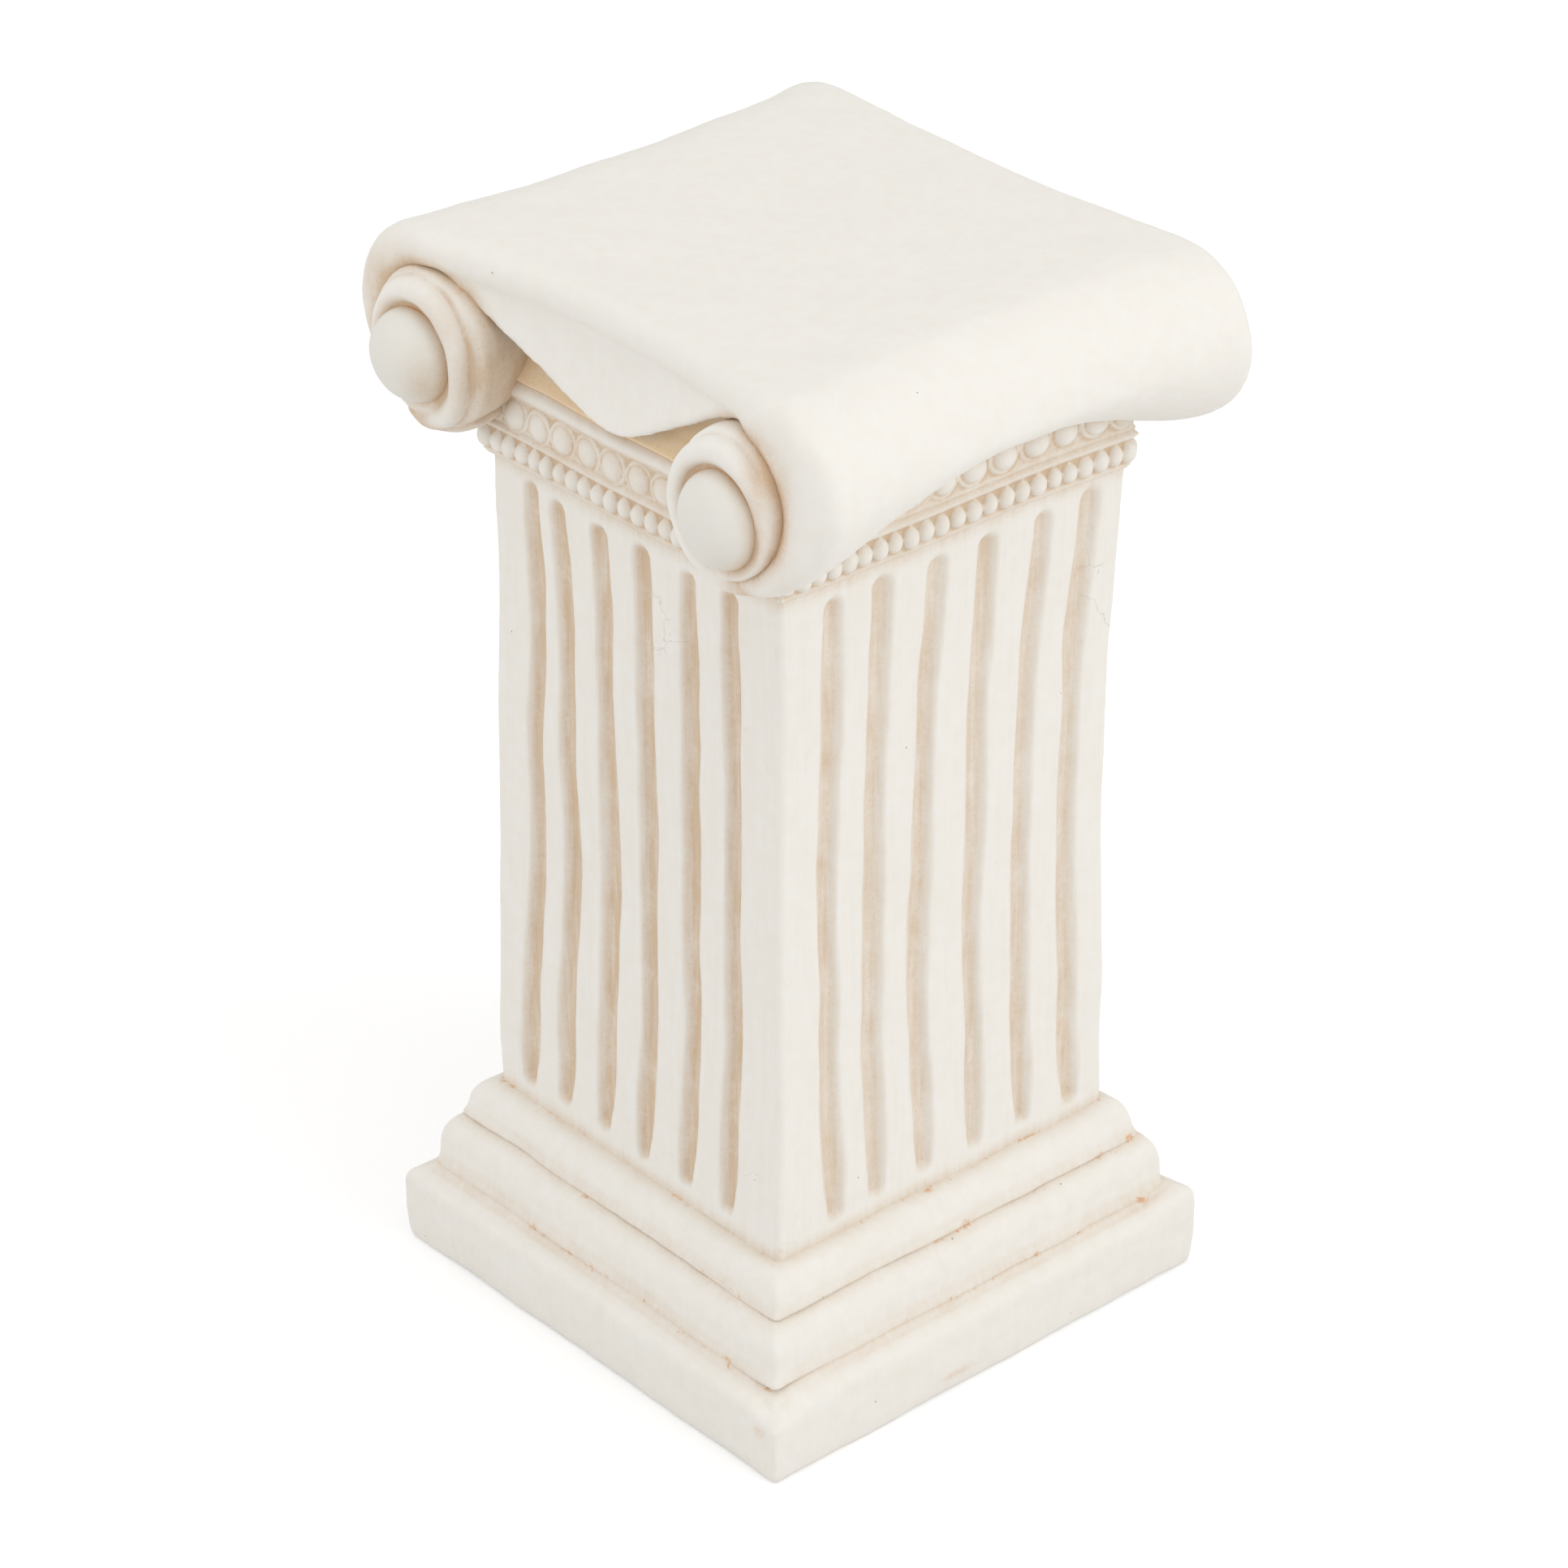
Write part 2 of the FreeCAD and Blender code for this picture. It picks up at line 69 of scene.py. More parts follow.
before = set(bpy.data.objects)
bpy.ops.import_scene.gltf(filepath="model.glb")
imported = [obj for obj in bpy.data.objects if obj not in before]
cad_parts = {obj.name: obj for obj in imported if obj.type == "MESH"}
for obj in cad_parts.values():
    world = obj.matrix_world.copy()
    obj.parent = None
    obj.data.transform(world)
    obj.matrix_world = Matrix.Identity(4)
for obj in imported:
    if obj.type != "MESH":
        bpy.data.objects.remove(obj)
CAD_BOX = [list(corner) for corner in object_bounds()]
MM = 0.001
SIDES = ("front", "right", "back", "left")


def level(node, end):
    """Height of a CAD node's foot (0) or head (1), in millimetres."""
    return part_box(node)[end].z / MM


def half_width(node):
    """Half the width of a CAD node that is centred on the axis, in millimetres."""
    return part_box(node)[1].x / MM


TOP = level("capital_sheet", 1)
SHEET_UNDER = level("neck_block", 1)
NECK_FOOT = level("neck_block", 0)
CAP_FOOT = level("cap_moulding", 0)
EGGS_FOOT = level("egg_course_front", 0)
BEADS_FOOT = level("bead_course_front", 0)
SHAFT_FOOT = level("shaft_panel_front", 0)
UPPER_FOOT = level("base_torus_upper", 0)
LOWER_FOOT = level("base_torus_lower", 0)
PLINTH_HALF = half_width("plinth")
LOWER_HALF = half_width("base_torus_lower")
UPPER_HALF = half_width("base_torus_upper")
SHAFT_HALF = half_width("shaft_panel_front")
NECK_HALF = half_width("neck_block")
SHEET_HALF = half_width("capital_sheet")
EYE_LOW, EYE_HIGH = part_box("volute_eye_front_right")
EYE_X = (EYE_LOW.x + EYE_HIGH.x) / 2 / MM
EYE_TIP = -EYE_LOW.y / MM
BORE_HALF = 76.0
DRAWN_RADIUS = 36.4  # radius of a scroll that the tables of its turns are drawn at
BARREL_HALF = 108  # half the length of a scroll's even part
FLUTE_POINTS = 120

# Voxels that castings are melted at, in millimetres
ORNAMENT_GRAIN = 0.62
SCROLL_GRAIN = 1.15
SHEET_GRAIN = 1.9

# Strengths of wash and residue in each plaster finish, and how its paint lies
FINISHES = {
    "Base plaster": {"warm": 0.45, "streaks": 0.25, "Hollow": 0.5, "Contact": 0.45, "Crease": 1.12,
                     "Broken": 1.0},
    "Shaft plaster": {"warm": 0.35, "streaks": 0.4, "hairlines": 0.3, "Hollow": 0.15, "Contact": 0.5,
                      "Crease": 0.8, "Broken": 0.9},
    "Ornament plaster": {"warm": 0.5, "streaks": 0.15, "Hollow": 0.85, "Contact": 0.6, "Crease": 0.9},
    # The neck's tan wash is lightened as painted light, to lift the shade under the capital
    "Neck plaster": {"warm": 0.3, "streaks": 0.2, "wash": "neck_wash_with_painted_light", "Hollow": 0.8, "Contact": 0.5,
                     "Everywhere": 0.85},
    "Capital plaster": {"warm": 0.3, "streaks": 0.15, "Hollow": 0.7, "Contact": 0.85, "Crease": 0.95},
    # The eyes take a darker copy of the paint: painted shade
    "Eye plaster": {"warm": 0.3, "streaks": 0.1, "paint": "eye_paint", "Hollow": 0.7, "Contact": 0.9,
                    "Crease": 0.9},
}

# Where each flute runs across its face: at its foot, half way up and at its head
FLUTE_PLACES = {
    "front": ((-72, -65, -65), (-48, -43, -47), (-22, -17, -20), (4, 8, 6), (32, 35, 35), (58, 62, 61)),
    "right": ((-60, -67, -63), (-37, -42, -37), (-10, -16, -8), (19, 15, 18), (46, 43, 47), (73, 70, 73)),
    "back": ((-66, -64, -67), (-40, -37, -41), (-12, -14, -11), (12, 15, 14), (40, 37, 41), (66, 63, 65)),
    "left": ((-68, -66, -63), (-43, -38, -40), (-14, -13, -17), (13, 10, 12), (36, 40, 38), (65, 66, 62)),
}

# Small blemishes of the casting: middle, reach along each axis, strength
BLEMISHES = {
    "shaft": (((96, 73.5, 133.5), (5, 2.6, 4.6), 1.0), ((96, -96, 164), (1.6, 1.6, 15), 0.75),
              ((96, -96, 233), (1.6, 1.6, 4), 0.7), ((97, -98, 91), (3.5, 3.5, 2.6), 0.9)),
    "plinth": (((118, -128, 25), (3.2, 1.6, 2.6), 0.55), ((128, -20, 9), (1.5, 10, 2), 0.6)),
    "capital": (((112, -115, 482), (8, 6, 8), 0.5), ((121, -115, 458), (5, 6, 20), 0.5)),
    "scroll": (((112, -118, 474), (6, 7, 16), 0.45), ((117, -118, 450), (4, 7, 12), 0.35)),
}

# Where wash lies besides the hollows, partly painted shade on the sides of the scrolls, outer turns and eyes
# that turn from the light: middle, reach along each axis, strength
WASH_AND_SHADE_SPOTS = {
    "capital": (((-125, -116, 475), (17, 9, 15), 0.85), ((-108, -116, 489), (16, 9, 8), 0.7),
                ((-132, -115, 457), (8, 9, 12), 0.7), ((119, -116, 464), (8, 7, 24), 0.7),
                ((106, -115, 489), (14, 8, 6), 0.6)),
    "scroll": (((-70, -108, 452), (15, 20, 28), 0.9), ((-92, -122, 420), (18, 9, 7), 0.5),
               ((112, -118, 468), (8, 8, 26), 0.75), ((-86, -124, 470), (16, 10, 16), 0.5)),
    "eye": (((-84, -132, 446), (9, 12, 17), 0.55), ((106, -130, 432), (9, 12, 12), 0.3)),
}


class PedestalSizes(PropertyGroup):
    """Sizes of the hand-modelled detail."""

    flute_width: FloatProperty(
        name="Flute width", description="Width of a flute half way up", default=13.2 * MM,
        min=4 * MM, max=22 * MM, subtype="DISTANCE", unit="LENGTH")
    flute_depth: FloatProperty(
        name="Flute depth", description="How deep a flute is pressed in", default=3.7 * MM,
        min=0.0, max=9 * MM, subtype="DISTANCE", unit="LENGTH")
    bead_count: IntProperty(
        name="Beads", description="Beads on one side of the neck", default=23, min=3, max=60)
    bead_radius: FloatProperty(
        name="Bead radius", description="Radius of a bead", default=4.0 * MM,
        min=1 * MM, max=8 * MM, subtype="DISTANCE", unit="LENGTH")
    egg_count: IntProperty(
        name="Eggs", description="Eggs on one side of the neck", default=12, min=2, max=40)
    egg_width: FloatProperty(
        name="Egg width", description="Width of an egg", default=12.4 * MM,
        min=2 * MM, max=20 * MM, subtype="DISTANCE", unit="LENGTH")
    wander: FloatProperty(
        name="Wander", description="How far a hand-modelled face strays from a true one",
        default=0.55 * MM, min=0.0, max=3 * MM, subtype="DISTANCE", unit="LENGTH")


class PedestalColours(PropertyGroup):
    """Colours of the paint and of what lies in its hollows."""

    paint: FloatVectorProperty(
        name="Paint", description="Thick matt paint on the raised parts", default=(0.875, 0.85, 0.80),
        min=0.0, max=1.0, subtype="COLOR")
    paint_warm: FloatVectorProperty(
        name="Thin paint", description="Paint where it is thin", default=(0.84, 0.79, 0.70),
        min=0.0, max=1.0, subtype="COLOR")
    wash: FloatVectorProperty(
        name="Wash", description="Tan wash left in the hollows", default=(0.67, 0.52, 0.37),
        min=0.0, max=1.0, subtype="COLOR")
    # Eye paint is a darker copy of the paint, as painted shade on the eyes
    eye_paint: FloatVectorProperty(
        name="Eye paint", description="Greyer paint on the eyes", default=(0.79, 0.77, 0.715),
        min=0.0, max=1.0, subtype="COLOR")
    # Tan wash of the neck, lightened as painted light against the shade under the capital
    neck_wash_with_painted_light: FloatVectorProperty(
        name="Neck wash", description="Warm tan of the sheltered neck", default=(0.88, 0.68, 0.44),
        min=0.0, max=1.0, subtype="COLOR")
    residue: FloatVectorProperty(
        name="Residue", description="Orange-brown colour packed into the creases",
        default=(0.70, 0.385, 0.175), min=0.0, max=1.0, subtype="COLOR")
    # Dark of the pinholes and hairline cracks: painted shade inside them, with dirt in them
    pinhole_shade_and_dirt: FloatVectorProperty(
        name="Pinholes", description="Dark of the pinholes and hairlines", default=(0.17, 0.12, 0.08),
        min=0.0, max=1.0, subtype="COLOR")


# ---------------------------------------------------------------- shapes

def wander_field(points, length, seed, waves=8):
    """Smooth wandering values of about -1 to 1 over points, with a wavelength near length."""
    rng = np.random.default_rng(seed)
    ways = rng.normal(size=(waves, 3))
    ways /= np.linalg.norm(ways, axis=1)[:, None]
    pace = 2 * np.pi / length * rng.uniform(0.6, 1.5, waves)
    phase = rng.uniform(0, 2 * np.pi, waves)
    return np.sin(points @ (ways * pace[:, None]).T + phase).sum(axis=1) / math.sqrt(waves)


def ease(value, low, high):
    """Smooth step from 0 at low to 1 at high."""
    share = np.clip((value - low) / (high - low), 0, 1)
    return share * share * (3 - 2 * share)


def shared_warp(points):
    """The same slow unevenness for every casting, so that neighbours keep together."""
    grip = ease(points[:, 2], 12, 60) * (1 - ease(points[:, 2], 470, 505))
    moved = points.copy()
    for axis, reach in ((0, 0.8), (1, 0.8), (2, 0.6)):
        moved[:, axis] += reach * grip * wander_field(points, 150, 40 + axis)
    return moved


def even_line(points, step):
    """A run of points at equal steps along a polyline."""
    points = np.asarray(points, float)
    lengths = np.concatenate([[0], np.cumsum(np.linalg.norm(np.diff(points, axis=0), axis=1))])
    count = max(2, int(round(lengths[-1] / step)) + 1)
    places = np.linspace(0, lengths[-1], count)
    return np.stack([np.interp(places, lengths, points[:, axis]) for axis in range(points.shape[1])], 1)


def soften_loop(points, passes):
    """Rounds the corners of a closed run of points."""
    for _ in range(passes):
        points = 0.5 * points + 0.25 * (np.roll(points, 1, axis=0) + np.roll(points, -1, axis=0))
    return points


def quads(rows, columns, close_rows=False, close_columns=False):
    """Faces of a grid of points that is stored row by row."""
    faces = []
    for row in range(rows if close_rows else rows - 1):
        above = (row + 1) % rows
        for column in range(columns if close_columns else columns - 1):
            beside = (column + 1) % columns
            faces.append((row * columns + column, row * columns + beside,
                          above * columns + beside, above * columns + column))
    return faces


def new_piece(name, points, faces, edges=()):
    """A mesh object from points in millimetres, with its faces turned outwards."""
    mesh = bpy.data.meshes.new(name)
    mesh.from_pydata((np.asarray(points) * MM).tolist(), [tuple(edge) for edge in edges], faces)
    work = bmesh.new()
    work.from_mesh(mesh)
    if not edges:
        bmesh.ops.remove_doubles(work, verts=work.verts, dist=0.02 * MM)
    bmesh.ops.recalc_face_normals(work, faces=work.faces)
    work.to_mesh(mesh)
    work.free()
    piece = bpy.data.objects.new(name, mesh)
    bpy.context.scene.collection.objects.link(piece)
    return piece


def tube(rows):
    """Rows of points round a solid, as one shell that is closed at both ends."""
    count = len(rows[0])
    faces = quads(len(rows), count, close_columns=True)
    last = (len(rows) - 1) * count
    faces += [tuple(range(count - 1, -1, -1)), tuple(range(last, last + count))]
    return np.concatenate(rows), faces


def chain(start, count):
    """Edges that join a run of points one after another."""
    return [(start + place, start + place + 1) for place in range(count - 1)]


def stacked(shells):
    """Several (points, faces) shells as one."""
    faces, start = [], 0
    for points, shell_faces in shells:
        faces += [tuple(start + corner for corner in face) for face in shell_faces]
        start += len(points)
    return np.concatenate([points for points, _ in shells]), faces


def settle(piece):
    """Turns a piece with live modifiers into one plain mesh."""
    bpy.context.view_layer.update()
    graph = bpy.context.evaluated_depsgraph_get()
    made = bpy.data.meshes.new_from_object(
        piece.evaluated_get(graph), preserve_all_data_layers=True, depsgraph=graph)
    before = piece.data
    piece.modifiers.clear()
    piece.data = made
    bpy.data.meshes.remove(before)
    made.name = piece.name
    return piece


def knead(piece, grain, smoothing, material):
    """Melts overlapping shells into one soft skin of one material."""
    remesh = piece.modifiers.new("Skin", "REMESH")
    remesh.mode = "VOXEL"
    remesh.voxel_size = grain * MM
    smooth = piece.modifiers.new("Soften", "SMOOTH")
    smooth.factor = 0.5
    smooth.iterations = smoothing
    settle(piece)
    piece.data.materials.clear()
    piece.data.materials.append(material)
    return piece


def read_vectors(source, name):
    """One vector for each point of a mesh."""
    values = np.zeros(len(source) * 3)
    source.foreach_get(name, values)
    return values.reshape(-1, 3)


def read_points(mesh):
    """Points of a mesh, in millimetres."""
    return read_vectors(mesh.vertices, "co") / MM


def write_points(mesh, points):
    """Moves the points of a mesh to places in millimetres."""
    mesh.vertices.foreach_set("co", (points * MM).ravel())
    mesh.update()


def read_normals(mesh):
    """Ways out at the points of a mesh."""
    return read_vectors(mesh.vertex_normals, "vector")


def write_mask(mesh, name, values):
    """Stores one value for each point, for the materials to read."""
    mask = mesh.attributes.get(name) or mesh.attributes.new(name, "FLOAT", "POINT")
    mask.data.foreach_set("value", np.clip(values, 0, 1).astype(np.float32))


def read_mask(mesh, name):
    """Reads one value for each point, or zeros where there is none."""
    values = np.zeros(len(mesh.vertices), np.float32)
    if name in mesh.attributes:
        mesh.attributes[name].data.foreach_get("value", values)
    return values


def blurred(mesh, values, passes):
    """Values or points spread over their neighbours along the edges."""
    ends = np.zeros(len(mesh.edges) * 2, np.int64)
    mesh.edges.foreach_get("vertices", ends)
    ends = ends.reshape(-1, 2)
    size = len(mesh.vertices)
    count = np.maximum(np.bincount(ends.ravel(), minlength=size), 1)
    columns = values.reshape(size, -1).astype(float)
    for _ in range(passes):
        spread = np.stack([
            np.bincount(ends[:, 0], columns[ends[:, 1], axis], size)
            + np.bincount(ends[:, 1], columns[ends[:, 0], axis], size)
            for axis in range(columns.shape[1])], 1)
        columns = 0.5 * columns + 0.5 * spread / count[:, None]
    return columns.reshape(values.shape)


def hollow_depth(mesh, passes):
    """How far each point lies under the smoothed skin, in millimetres."""
    points = read_points(mesh)
    return ((blurred(mesh, points, passes) - points) * read_normals(mesh)).sum(axis=1)


def outward_of_column(points):
    """Way out from a square column, the same for both walls at a corner."""
    way = np.sign(points[:, :2]) * np.maximum(np.abs(points[:, :2]) - 0.9 * SHAFT_HALF, 0)
    length = np.maximum(np.linalg.norm(way, axis=1), 1e-6)[:, None]
    return np.concatenate([way / length, np.zeros((len(points), 1))], 1)


def hand_finish(piece, seed, share=1.0, hollow=(0.05, 0.55), passes=24, outward=None):
    """Gives a piece its slow and fine unevenness, and marks its hollows."""
    mesh = piece.data
    wander = bpy.context.scene.pedestal_sizes.wander / MM * share
    points = shared_warp(read_points(mesh))
    write_points(mesh, points)
    depth = hollow_depth(mesh, passes)
    normals = outward(points) if outward else read_normals(mesh)
    uneven = (0.62 * wander_field(points, 62, seed) + 0.28 * wander_field(points, 24, seed + 1)
              + 0.12 * wander_field(points, 9, seed + 2))
    points = points + normals * (wander * uneven)[:, None]
    low, high = [np.array(corner) / MM for corner in CAD_BOX]
    write_points(mesh, np.clip(points, low + 0.02, high - 0.02))
    write_mask(mesh, "stain_hollow", (depth - hollow[0]) / (hollow[1] - hollow[0]))
    mesh.shade_smooth()
    if outward:
        mesh.set_sharp_from_angle(angle=math.radians(48))
    return piece


def quarter_turned(points, quarters):
    """Points turned about the upright axis by quarter turns, from the front to the right and on."""
    turned = points.copy()
    for _ in range(quarters):
        turned[:, 0], turned[:, 1] = -turned[:, 1].copy(), turned[:, 0].copy()
    return turned


def placed(piece, nodes):
    """Ties a finished piece to the CAD nodes that it stands for."""
    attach(piece, "root")
    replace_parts(piece, *nodes)
    return piece


def square_stations(half, step=2.4, corner_steps=6):
    """Places round a square: where along it, and the way out, side after side."""
    along = np.linspace(-1, 1, int(2 * half / step) + 1)
    turns = np.linspace(0, math.pi / 2, corner_steps + 2)[1:-1]
    side = np.array([(place, -1, 0, -1) for place in along]
                    + [(1, -1, math.sin(turn), -math.cos(turn)) for turn in turns])
    sides = []
    for _ in SIDES:
        sides.append(side)
        side = np.stack([-side[:, 1], side[:, 0], -side[:, 3], side[:, 2]], 1)
    stations = np.concatenate(sides)
    return stations[:, :2], stations[:, 2:]


def square_ring(outline, step, passes, corner_round):
    """Closed section in (out, z), softened and swept round a square with soft outer corners."""
    outline = soften_loop(even_line(outline + outline[:1], step)[:-1], passes)
    out, z = outline[:, 0], outline[:, 1]
    bore = out.min()
    corner = corner_round * ease(out, bore + 2, bore + 14)
    spots, ways = square_stations(out.max())
    points = np.zeros((len(spots), len(outline), 3))
    for axis in range(2):
        points[:, :, axis] = (spots[:, axis, None] * (out - corner)[None, :]
                              + ways[:, axis, None] * corner[None, :])
    points[:, :, 2] = z[None, :]
    return points.reshape(-1, 3), quads(len(spots), len(outline), True, True)


# ---------------------------------------------------------------- node trees

def add_node(tree, kind, fed=(), **settings):
    """A node with its settings, and with values or outputs fed to the inputs that are named."""
    node = tree.nodes.new(kind)
    for name, value in settings.items():
        setattr(node, name, value)
    for socket, source in dict(fed).items():
        feed(tree, source, node.inputs[socket])
    return node


def feed(tree, source, target):
    """Joins an output to an input, or gives the input a plain value."""
    if isinstance(source, bpy.types.NodeSocket):
        tree.links.new(source, target)
    else:
        target.default_value = source


def maths(tree, operation, *values):
    """Result of one sum on values or outputs."""
    return add_node(tree, "ShaderNodeMath", dict(enumerate(values)), operation=operation).outputs[0]


def times(tree, first, *others):
    """Product of two or more values."""
    for other in others:
        first = maths(tree, "MULTIPLY", first, other)
    return first


def plus(tree, first, second):
    """Sum of two values."""
    return maths(tree, "ADD", first, second)


def new_tree(name, kind, inputs, outputs):
    """A node tree with named sockets; an input is (name, kind of socket, default)."""
    tree = bpy.data.node_groups.new(name, kind)
    for socket_name, socket_kind, default in inputs:
        socket = tree.interface.new_socket(
            socket_name, in_out="INPUT", socket_type="NodeSocket" + socket_kind)
        if default is not None:
            socket.default_value = default
    for socket_name, socket_kind in outputs:
        tree.interface.new_socket(socket_name, in_out="OUTPUT", socket_type="NodeSocket" + socket_kind)
    return tree, tree.nodes.new("NodeGroupInput").outputs, tree.nodes.new("NodeGroupOutput").inputs


def shape_tree(name, inputs):
    """A geometry tree that takes a body and a material, and gives a body."""
    return new_tree(name, "GeometryNodeTree",
                    [("Geometry", "Geometry", None)] + inputs + [("Material", "Material", None)],
                    [("Geometry", "Geometry")])


def grow(piece, tree, values):
    """Puts a geometry tree on a piece and sets its named inputs."""
    modifier = piece.modifiers.new(tree.name, "NODES")
    modifier.node_group = tree
    for item in tree.interface.items_tree:
        if item.item_type == "SOCKET" and item.in_out == "INPUT" and item.name in values:
            modifier[item.identifier] = values[item.name]
    return piece


def named_value(tree, name):
    """A value stored on the points of a mesh."""
    node = add_node(tree, "GeometryNodeInputNamedAttribute", {"Name": name}, data_type="FLOAT")
    return node.outputs["Attribute"]


def finish_tree(tree, geometry, given, result):
    """Closes a geometry tree: instances made real, one material."""
    real = add_node(tree, "GeometryNodeRealizeInstances", {"Geometry": geometry}).outputs["Geometry"]
    painted = add_node(tree, "GeometryNodeSetMaterial", {"Geometry": real, "Material": given["Material"]})
    feed(tree, painted.outputs["Geometry"], result["Geometry"])
    return tree


def joined(tree, *geometries):
    """Several geometries as one."""
    whole = add_node(tree, "GeometryNodeJoinGeometry")
    for geometry in geometries:
        feed(tree, geometry, whole.inputs["Geometry"])
    return whole.outputs["Geometry"]


def circle(tree, points, radius):
    """A closed round curve."""
    ring = add_node(tree, "GeometryNodeCurvePrimitiveCircle", {"Resolution": points, "Radius": radius},
                    mode="RADIUS")
    return ring.outputs["Curve"]


def parted(tree, given, mask):
    """The points of a body that a mask marks, and the rest."""
    marked = maths(tree, "GREATER_THAN", named_value(tree, mask), 0.0001)
    part = add_node(tree, "GeometryNodeSeparateGeometry",
                    {"Geometry": given["Geometry"], "Selection": marked}, domain="POINT")
    return part.outputs["Selection"], part.outputs["Inverted"]


def fluting_tree():
    """Presses flutes into a wall along the loose edges that come with it."""
    tree, given, result = shape_tree("Fluting", [("Depth", "Float", 4.4 * MM), ("Floor", "Float", 0.2)])
    lines, wall = parted(tree, given, "flute_half")
    distance = add_node(tree, "GeometryNodeProximity", {"Geometry": lines},
                        target_element="EDGES").outputs["Distance"]
    nearest = add_node(tree, "GeometryNodeSampleNearest", {"Geometry": lines}, domain="POINT")
    half, strength = [
        add_node(tree, "GeometryNodeSampleIndex",
                 {"Geometry": lines, "Value": named_value(tree, name), "Index": nearest.outputs["Index"]},
                 data_type="FLOAT", domain="POINT").outputs["Value"]
        for name in ("flute_half", "flute_press")]
    share = maths(tree, "DIVIDE", distance, half)
    press = ranged(tree, share, given["Floor"], 1.0, 1.0, 0.0, "SMOOTHSTEP")
    broad = maths(tree, "SUBTRACT", 1.0, maths(tree, "POWER", maths(tree, "MINIMUM", share, 1.0), 1.5))
    store = add_node(tree, "GeometryNodeStoreNamedAttribute",
                     {"Geometry": wall, "Name": "stain_flute", "Value": broad},
                     data_type="FLOAT", domain="POINT")
    inwards = add_node(tree, "ShaderNodeCombineXYZ", {"Y": times(tree, press, strength, given["Depth"])})
    moved = add_node(tree, "GeometryNodeSetPosition",
                     {"Geometry": store.outputs["Geometry"], "Offset": inwards.outputs["Vector"]})
    return finish_tree(tree, moved.outputs["Geometry"], given, result)


def strewn_points(tree, given):
    """Points in a row, each a little off its place."""
    line = add_node(tree, "GeometryNodeMeshLine",
                    {"Count": given["Count"], "Start Location": given["Start"], "Offset": given["End"]},
                    mode="END_POINTS")
    low, high = [
        add_node(tree, "ShaderNodeVectorMath", {0: way, "Scale": given["Stray"]}, operation="SCALE")
        for way in ((-1, -1, -1), (1, 0.6, 1))]
    stray = add_node(tree, "FunctionNodeRandomValue",
                     {0: low.outputs[0], 1: high.outputs[0], "Seed": given["Seed"]},
                     data_type="FLOAT_VECTOR")
    moved = add_node(tree, "GeometryNodeSetPosition",
                     {"Geometry": line.outputs["Mesh"], "Offset": stray.outputs[0]})
    return moved.outputs["Geometry"]


def set_out(tree, points, thing, given, low, high):
    """Puts a thing on each point, each copy a slightly different size and tilt."""
    lean = (0.08, 0.1, 0.08)
    size, tilt = [
        add_node(tree, "FunctionNodeRandomValue",
                 {0: least, 1: most, "Seed": plus(tree, given["Seed"], shift)},
                 data_type="FLOAT_VECTOR").outputs[0]
        for least, most, shift in ((low, high, 7.0), (tuple(-turn for turn in lean), lean, 3.0))]
    spread = add_node(tree, "GeometryNodeInstanceOnPoints",
                      {"Points": points, "Instance": thing, "Scale": size, "Rotation": tilt})
    return spread.outputs["Instances"]


def ball(tree, across, out, tall):
    """A squashed ball from three half sizes."""
    sphere = add_node(tree, "GeometryNodeMeshUVSphere", {"Segments": 24, "Rings": 14, "Radius": 1.0})
    scale = add_node(tree, "ShaderNodeCombineXYZ", {0: across, 1: out, 2: tall})
    shape = add_node(tree, "GeometryNodeTransform",
                     {"Geometry": sphere.outputs["Mesh"], "Scale": scale.outputs[0]})
    return shape.outputs["Geometry"]


ROW_INPUTS = [("Count", "Int", 12), ("Start", "Vector", None), ("End", "Vector", None),
              ("Width", "Float", 8 * MM), ("Height", "Float", 8 * MM), ("Stand", "Float", 4 * MM),
              ("Stray", "Float", 0.3 * MM), ("Seed", "Int", 1)]


def bead_tree():
    """A row of beads joined to its strip."""
    tree, given, result = shape_tree("Bead row", ROW_INPUTS)
    bead = ball(tree, times(tree, given["Width"], 0.5), given["Stand"], times(tree, given["Height"], 0.5))
    row = set_out(tree, strewn_points(tree, given), bead, given, (0.93, 0.9, 0.9), (1.07, 1.05, 1.06))
    return finish_tree(tree, joined(tree, row, given["Geometry"]), given, result)


def egg_tree():
    """A row of eggs, each in a raised rim, joined to its strip."""
    tree, given, result = shape_tree(
        "Egg row", ROW_INPUTS + [("Rim", "Float", 1 * MM), ("Gap", "Float", 1.3)])
    half_wide = times(tree, given["Width"], 0.5)
    half_tall = times(tree, given["Height"], 0.5)
    egg = ball(tree, half_wide, given["Stand"], half_tall)
    scale = add_node(tree, "ShaderNodeCombineXYZ", {
        "X": times(tree, half_wide, given["Gap"]),
        "Y": times(tree, half_tall, maths(tree, "SUBTRACT", given["Gap"], 0.08)), "Z": 1.0})
    oval = add_node(tree, "GeometryNodeTransform", {
        "Geometry": circle(tree, 40, 1.0), "Scale": scale.outputs[0], "Rotation": (math.pi / 2, 0, 0)})
    rim = add_node(tree, "GeometryNodeCurveToMesh", {
        "Curve": oval.outputs["Geometry"], "Profile Curve": circle(tree, 10, given["Rim"])})
    row = set_out(tree, strewn_points(tree, given), joined(tree, egg, rim.outputs["Mesh"]), given,
                  (0.94, 0.85, 0.94), (1.06, 1.05, 1.05))
    return finish_tree(tree, joined(tree, row, given["Geometry"]), given, result)


